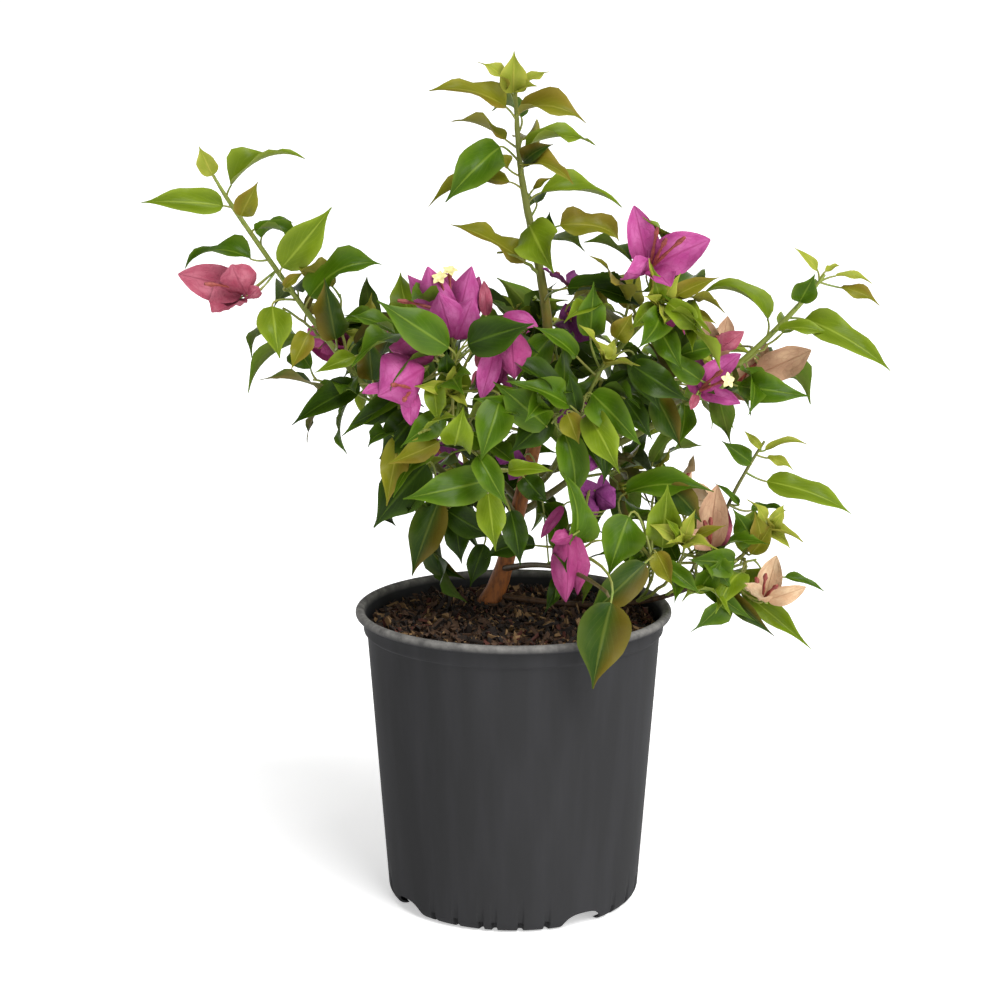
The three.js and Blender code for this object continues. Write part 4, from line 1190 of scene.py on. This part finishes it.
# The bracts that show best, by the limb their bloom hangs on: kind, foot and tip in mm, how the
# tip curls (out, or in below zero), how far the inner face turns to the front (or, below zero,
# to the back), width to length, and cup (hollow below zero).
SHOWN_BRACTS = {
    "upper_right_stem": [
        ("magenta", (67, -14, 332), (59, -12, 363), 0.25, 0.7, 0.5, -0.3),
        ("magenta", (68, -14, 332), (97, -14, 348), 0.4, 0.75, 0.62, -0.2),
        ("magenta", (67, -16, 331), (56, -32, 333), -0.9, -0.6, 1.0, -0.4),
        ("magenta", (69, -16, 331), (76, -34, 325), 0.4, 0.3, 0.8, -0.1),
    ],
    "front_left_stem": [
        ("magenta", (-33, -16, 297), (-54, -12, 328), -0.35, -0.8, 0.44, -0.3),
        ("magenta", (-32, -20, 298), (-45, -20, 333), -0.3, -0.9, 0.5, -0.3),
        ("magenta", (-30, -18, 298), (-23, -18, 334), -0.25, -0.9, 0.46, -0.3),
        ("deep_pink", (-30, -12, 297), (-18, -12, 328), -0.25, -0.7, 0.45, -0.3),
        ("magenta", (-31, -22, 298), (-37, -30, 322), -0.6, -1, 0.7, -0.3),
        ("magenta", (-29, -22, 297), (-21, -28, 319), -0.5, -0.9, 0.66, -0.3),
        ("deep_pink", (-31, -8, 300), (-35, -2, 329), 0.2, 0.6, 0.6, 0),
    ],
    "left_stem": [
        ("magenta", (-44, -40, 286), (-68, -50, 276), -1.3, -1, 1.0, -0.6),
        ("magenta", (-55, -44, 280), (-75, -48, 275), 0.1, 0.4, 0.42, 0),
        ("magenta", (-50, -40, 274), (-53, -44, 258), 0.2, 0.6, 0.6, 0),
        ("deep_pink", (-40, -30, 288), (-62, -32, 295), -0.6, -0.7, 1.0, -0.3),
    ],
    "front_left_bough": [
        ("deep_pink", (-2, -36, 305), (0, -44, 281), -1.0, -1, 0.72, -0.6),
        ("magenta", (-6, -30, 309), (12, -32, 306), 0.6, 0.5, 0.5, -0.2),
        ("magenta", (-9, -36, 296), (-16, -40, 270), 0.2, 0.7, 0.44, -0.1),
        ("dusty", (-14, -14, 308), (-14, -14, 326), 0.1, 1, 0.38, 0),
    ],
    "left_bough": [
        ("dusty", (-136, -6, 319), (-168, -10, 330), 0.3, 0.75, 0.55, -0.2),
        ("dusty", (-138, -6, 316), (-150, -24, 311), -0.5, 0.5, 0.9, -0.3),
        ("dusty", (-134, -10, 318), (-140, -22, 335), -0.7, -0.8, 0.9, -0.3),
        ("dusty", (-135, -8, 316), (-128, -14, 323), -0.6, -0.6, 0.9, -0.3),
    ],
    "right_stem": [
        ("magenta", (92, -14, 268), (93, -10, 289), -0.2, 0.6, 0.5, -0.2),
        ("magenta", (94, -14, 270), (112, -12, 291), 0.3, 0.75, 0.5, -0.1),
        ("magenta", (94, -16, 269), (114, -26, 267), 0.2, 0.5, 0.42, -0.1),
        ("dusty", (92, -18, 269), (89, -24, 262), 0.1, 0.8, 0.5, 0),
        ("salmon", (102, -8, 286), (98, -8, 307), 0.1, 0.7, 0.45, 0),
        ("salmon", (104, -2, 285), (109, 2, 306), 0.1, 0.9, 0.5, 0),
        ("dusty", (101, -12, 290), (114, -18, 302), -0.6, -0.7, 0.55, -0.3),
    ],
    "right_bough": [
        ("salmon", (125, 8, 275), (152, 4, 288), -0.1, 1, 0.58, -0.1),
        ("salmon", (130, 14, 281), (128, 14, 292), 0.1, 0.8, 0.45, 0),
    ],
    "hanging_stem": [
        ("purple", (45, -18, 212), (26, -22, 224), 0.6, 0.6, 0.62, -0.1),
        ("purple", (46, -16, 212), (44, -14, 227), 0.3, 0.8, 0.6, -0.1),
        ("purple", (41, -20, 220), (51, -28, 213), -0.8, -0.9, 0.9, -0.4),
        ("purple", (38, -22, 218), (36, -32, 204), -0.5, -0.8, 0.8, -0.3),
        ("deep_pink", (25, -24, 213), (13, -26, 197), 0.1, 0.9, 0.3, 0),
        ("deep_pink", (26, -58, 206), (28, -64, 173), -0.3, -1, 0.46, -0.6),
        ("deep_pink", (27, -54, 206), (31, -58, 175), -0.3, -0.6, 0.46, -0.3),
        ("deep_pink", (29, -60, 206), (18, -66, 203), -0.7, -0.9, 0.7, -0.3),
    ],
    "low_middle_stem": [
        ("salmon", (101, -20, 190), (98, -20, 223), 0.2, 0.95, 0.5, -0.2),
        ("dusty", (103, -18, 191), (109, -18, 212), 0.2, 0.9, 0.55, -0.2),
        ("salmon", (100, -22, 192), (85, -30, 199), 0.5, 0.6, 0.6, -0.1),
    ],
    "low_tip_stem": [
        ("peach", (129, -14, 162), (134, -14, 185), 0.1, 0.9, 0.56, -0.2),
        ("peach", (130, -16, 162), (150, -18, 168), 0.2, 0.8, 0.5, -0.1),
        ("peach", (129, -18, 161), (117, -26, 173), -0.5, 0.2, 0.8, -0.3),
    ],
}

# The flower tubes of those blooms: foot and end in mm, and whether a star has opened there.
SHOWN_TUBES = [
    ((68, -16, 334), (71, -20, 353), False),
    ((69, -16, 333), (75, -26, 348), False),
    ((69, -16, 333), (84, -28, 349), False),
    ((-37, -22, 312), (-58, -22, 317), False),
    ((-32, -16, 316), (-32, -18, 331), True),
    ((-34, -18, 317), (-37, -22, 328), True),
    ((-51, -48, 277), (-60, -56, 280), False),
    ((-51, -48, 275), (-54, -56, 272), False),
    ((-136, -10, 321), (-154, -20, 325), False),
    ((93, -16, 270), (106, -30, 278), True),
    ((93, -16, 270), (104, -24, 282), False),
    ((103, -8, 287), (102, -14, 298), False),
    ((103, -8, 287), (105, -12, 299), False),
    ((103, -6, 287), (108, -10, 298), False),
    ((100, -22, 193), (96, -28, 206), False),
    ((100, -22, 193), (99, -30, 208), False),
    ((127, -20, 164), (123, -26, 176), False),
    ((127, -20, 164), (128, -26, 178), False),
    ((128, -20, 164), (134, -26, 172), False),
]

# Blooms deeper in the crown, none of them open: limb, kind, width to length of a bract, how its
# tip curls, how many tubes it has, the foot in mm and the tips of the bracts in mm.
INNER_BLOOMS = [
    ("trunk", "purple", 0.5, 0.2, 1, (28, 30, 318), [(15, 22, 328), (52, 30, 312), (34, 48, 322)]),
    ("trunk", "purple", 0.7, 0.3, 1, (30, 32, 300), [(27, 22, 310), (42, 28, 290), (22, 44, 296)]),
    (
        "front_left_bough", "deep_pink", 0.6, 0.3, 1,
        (-10, -10, 292),
        [(-14, -20, 262), (2, -18, 268), (-20, -12, 270)],
    ),
    (
        "low_front_bough", "purple", 0.7, 0.3, 0,
        (4, -20, 236),
        [(-10, -28, 242), (14, -26, 232), (-2, -24, 226)],
    ),
    (
        "centre_low_stem", "purple", 0.7, 0.3, 0,
        (40, -24, 240),
        [(44, -36, 248), (36, -32, 232), (50, -20, 240)],
    ),
    (
        "centre_low_stem", "purple", 0.7, 0.3, 0,
        (30, -22, 262),
        [(24, -34, 272), (40, -32, 264), (22, -30, 256)],
    ),
]

# The blooms at the back: the shoot's mass, their place in its box, kind.
BACK_BLOOMS = [
    ("back_left_leaves", (0.3, 1.0, 0.45), "magenta"),
    ("back_left_leaves", (0.05, 0.5, 0.5), "deep_pink"),
    ("back_leaves", (0.4, 1.0, 0.55), "magenta"),
    ("back_leaves", (0.8, 0.9, 0.35), "purple"),
    ("back_leaves", (0.2, 0.9, 0.2), "dusty"),
    ("back_right_leaves", (0.6, 0.95, 0.9), "magenta"),
    ("back_right_leaves", (0.98, 0.5, 0.5), "salmon"),
    ("back_low_leaves", (0.2, 0.9, 0.5), "purple"),
    ("back_low_right_leaves", (0.95, 0.5, 0.4), "peach"),
]


def open_star(end, axis):
    """Notes the five petals of a flower that has opened at the end of its tube."""
    side = unit(np.cross(axis, VIEWER + 0.01 * UP))
    other = np.cross(axis, side)
    for petal in range(5):
        angle = petal * 2 * math.pi / 5
        out = side * math.cos(angle) + other * math.sin(angle)
        foot = end - out * 0.3 * mm
        bends = (0, 0.35, 0, 0.1, petal, 0)
        star_rows.append(blade_row(foot, out + 0.25 * axis, axis, STAR_PETAL, bends))


def flower_tube(foot, end):
    """Notes one narrow tube, swollen near its end."""
    bulge = np.array([0.5, 0.8, 1.0, 0.7, 0.7, 1.4, 0.8]) * mm
    flower_tubes.append((curve(foot, (foot + end) / 2 + 1 * mm * UP, end, 7), bulge))


def grow_bract(limb, kind, foot, tip, curl, to_front, slim, cup, rng):
    """Grows one bract of the table on a stalk from the nearest place of its limb."""
    foot, tip = np.array(foot) * mm, np.array(tip) * mm
    points, _ = limbs[limb]
    start = points[int(np.argmin(np.linalg.norm(points - foot, axis=1)))]
    facing = (1 - abs(to_front)) * UP + to_front * VIEWER
    along, up, length = towards_tip(foot, tip, curl, facing)
    run = curve(start, foot - along * np.linalg.norm(foot - start) * 0.4, foot + along * 0.5 * mm, 9)
    twig_runs.append((run, np.full(9, 0.5 * mm)))
    bend, fold = rng.normal(0, 0.15), rng.uniform(0.1, 0.35)
    wave = rng.uniform(0.15, 0.4) * (1 + cup)
    bends = (bend, fold, cup, wave, rng.uniform(0, ROUND), rng.normal(0, 0.25))
    bract_rows[kind].append(blade_row(foot, along, up, (length, length * slim, curl), bends))


def grow_bloom(limb, foot, tips, kind, slim, curl, tubes_shown, stars, rng):
    """Grows one bloom on its stalk: bracts that face its axis, tubes and stars."""
    points, _ = limbs[limb]
    start = points[int(np.argmin(np.linalg.norm(points - foot, axis=1)))]
    ways = unit(tips - foot)
    axis = unit(ways.mean(0) + 1e-6)
    reach = np.linalg.norm(foot - start)
    run = curve(start, foot - axis * reach * 0.5, foot + axis * 1 * mm, 9)
    twig_runs.append((run, np.full(9, 0.5 * mm)))
    for k, (tip, way) in enumerate(zip(tips, ways)):
        inner = unit(axis - way * (axis @ way) + 1e-4 * UP) + 0.15 * VIEWER + rng.normal(0, 0.05, 3)
        along, up, length = towards_tip(foot, tip, curl, inner)
        bend, phase, twist = rng.normal(0, 0.12), rng.uniform(0, ROUND), rng.normal(0, 0.2)
        fold, cup, wave = rng.uniform(0.1, 0.35), rng.uniform(-0.25, 0.05), rng.uniform(0.12, 0.3)
        bends = (bend, fold, cup, wave, phase, twist)
        bract_rows[kind].append(blade_row(foot, along, up, (length, length * slim, curl), bends))
        if k < tubes_shown:
            end = foot + (way * 0.6 + axis * 0.14) * length
            flower_tube(foot, end)
            if k < stars:
                open_star(end, axis)


BLOOM_SEED = 300
rng = np.random.default_rng(BLOOM_SEED)
for limb, bracts in SHOWN_BRACTS.items():
    for bract in bracts:
        grow_bract(limb, *bract, rng)
for foot, end, is_open in SHOWN_TUBES:
    foot, end = np.array(foot) * mm, np.array(end) * mm
    flower_tube(foot, end)
    if is_open:
        open_star(end, unit(end - foot + 8 * mm * VIEWER))
for limb, kind, slim, curl, tubes_shown, foot, tips in INNER_BLOOMS:
    foot, tips = np.array(foot) * mm, np.array(tips) * mm
    grow_bloom(limb, foot, tips, kind, slim, curl, tubes_shown, 0, rng)
for mass, shares, kind in BACK_BLOOMS:
    foot = spot(mass, shares)
    middle = spot(mass, (0.5, 0.5, 0.4))
    axis = unit(unit(foot - middle) + 0.5 * UP)
    side = unit(np.cross(axis, (0.3, 0.2, 1)))
    other = np.cross(axis, side)
    open_by, length = rng.uniform(0.45, 0.8), rng.uniform(24, 30) * mm
    turns = rng.uniform(0, ROUND) + np.arange(3) * 2 * math.pi / 3
    out = np.cos(turns)[:, None] * side + np.sin(turns)[:, None] * other
    foot = foot - axis * 14 * mm
    tips = foot + length * (math.cos(open_by) * axis + math.sin(open_by) * out)
    nearest = min(limbs, key=lambda name: np.linalg.norm(limbs[name][0] - foot, axis=1).min())
    grow_bloom(nearest, foot, tips, kind, 0.75, rng.uniform(-0.2, 0.6), 3, int(rng.integers(0, 3)), rng)


def bract_outline(u):
    """Half width along a bract: broad, widest below the middle, with a short point."""
    shape = u**0.5 * (1 - u) ** 0.72 / 0.432
    return np.maximum(shape * (1 - 0.25 * np.clip((u - 0.75) / 0.25, 0, 1)), 0.04)


def bract_surface(name, main, second, vein_and_base_shade):
    """Papery bract: two close tints in soft patches, painted shade towards its foot, and a net of deeper
    veins.
    """
    material, tree, shader = surface(name, {"Roughness": 0.62, "Specular IOR Level": 0.2})
    over = add(tree, "UVMap", uv_map="OFBake").outputs[0]
    place = add(tree, "SeparateXYZ", {"Vector": over})
    from_middle = add(tree, "Math", {0: place.outputs["X"], 1: 0.5}, operation="SUBTRACT")
    aside = add(tree, "Math", {0: from_middle.outputs[0]}, operation="ABSOLUTE")
    patches = add(tree, "TexNoise", {"Vector": over, "Scale": 3, "Detail": 3})
    patch_amount = add(
        tree, "MapRange", {"Value": patches.outputs["Fac"], "From Min": 0.35, "From Max": 0.65}
    )
    tissue = add(tree, "Mix", data_type="RGBA")
    tree.links.new(patch_amount.outputs[0], tissue.inputs["Factor"])
    tissue.inputs[6].default_value = paint(main)
    tissue.inputs[7].default_value = paint(second)
    # Darker towards the foot, where the bracts close round the tubes: painted shade.
    depth = add(
        tree, "MapRange", {"Value": place.outputs["Y"], "From Max": 0.55, "To Min": 0.7, "To Max": 0}
    )
    shaded = add(tree, "Mix", data_type="RGBA")
    tree.links.new(depth.outputs[0], shaded.inputs["Factor"])
    tree.links.new(tissue.outputs[2], shaded.inputs[6])
    shaded.inputs[7].default_value = paint(vein_and_base_shade)
    midrib = add(
        tree,
        "MapRange",
        {"Value": aside.outputs[0], "From Min": 0.01, "From Max": 0.035, "To Min": 1, "To Max": 0},
    )
    net = add(tree, "TexVoronoi", {"Vector": over, "Scale": 9}, feature="DISTANCE_TO_EDGE")
    net_lines = add(
        tree, "MapRange", {"Value": net.outputs["Distance"], "From Max": 0.09, "To Min": 0.4, "To Max": 0}
    )
    ribs = add(tree, "Math", {0: midrib.outputs[0], 1: net_lines.outputs[0]}, operation="MAXIMUM")
    faint = add(tree, "Math", {0: ribs.outputs[0], 1: 0.5}, operation="MULTIPLY")
    veined = add(tree, "Mix", data_type="RGBA")
    tree.links.new(faint.outputs[0], veined.inputs["Factor"])
    tree.links.new(shaded.outputs[2], veined.inputs[6])
    veined.inputs[7].default_value = paint(vein_and_base_shade)
    tree.links.new(veined.outputs[2], shader.inputs["Base Color"])
    bump = add(tree, "Bump", {"Height": ribs.outputs[0], "Strength": 0.6, "Distance": 0.4 * mm})
    tree.links.new(bump.outputs[0], shader.inputs["Normal"])
    return material


# Papery tissue, thin and matt: magenta when fresh, and salmon to tan when old. Deep pink and
# purple are painted shade: darker copies of the magenta for blooms in the shade of the crown.
BRACT_KINDS = {
    "magenta": ("#a63f80", "#ba6098", "#8a1f5c"),
    "deep_pink": ("#903066", "#a44c7c", "#701a46"),
    "purple": ("#7c2f70", "#944886", "#511a48"),
    "dusty": ("#a0475c", "#b26676", "#803044"),
    "salmon": ("#ac866a", "#c09e7e", "#865a40"),
    "peach": ("#c8a380", "#d8bd9a", "#a67c58"),
}
for kind, (main, second, vein_and_base_shade) in BRACT_KINDS.items():
    papery = bract_surface(f"papery_bract_{kind}", main, second, vein_and_base_shade)
    sizes = (BRACT_STATIONS, BRACT_ACROSS, BRACT_THICKNESS, BRACT_CRINKLE)
    part = blades(bract_rows[kind], bract_outline, *sizes)
    joined(f"bracts_{kind}", [part], [papery, papery], crease=100)

def mottled(name, first, second, patch, roughness):
    """A soft plant skin in two close tints, in patches of the given size that also stand out."""
    material, tree, shader = surface(name, {"Roughness": roughness})
    at = add(tree, "TexCoord").outputs["Object"]
    patches = add(tree, "TexNoise", {"Vector": at, "Scale": 1 / patch, "Detail": 4})
    amount = add(
        tree, "MapRange", {"Value": patches.outputs["Fac"], "From Min": 0.35, "From Max": 0.65}
    )
    tint = add(tree, "Mix", data_type="RGBA")
    tree.links.new(amount.outputs[0], tint.inputs["Factor"])
    tint.inputs[6].default_value = paint(first)
    tint.inputs[7].default_value = paint(second)
    tree.links.new(tint.outputs[2], shader.inputs["Base Color"])
    bump = add(tree, "Bump", {"Height": patches.outputs["Fac"], "Strength": 0.3, "Distance": 0.2 * mm})
    tree.links.new(bump.outputs[0], shader.inputs["Normal"])
    return material


# Flower tubes are matt and reddish brown; the star that opens at the end is cream.
red_tube = mottled("red_brown_tube", "#7a2f2c", "#9a4a3c", 2 * mm, 0.6)
joined("flower_tubes", [tubes(run[None], radii[None]) for run, radii in flower_tubes], [red_tube])
cream_star = mottled("cream_star", "#ded28a", "#eee6ac", 1.5 * mm, 0.6)
star_part = blades(star_rows, bract_outline, 6, BRACT_ACROSS[::3], 0.3 * mm)
joined("cream_stars", [star_part], [cream_star, cream_star], crease=100)


# The stalks and side shoots noted above, as one piece.
parts = [tubes(run[None], radii[None]) for run, radii in twig_runs]
green_stalk = mottled("green_stalk", "#70842f", "#8e8c42", 9 * mm, 0.5)
joined("twigs", parts, [green_stalk])
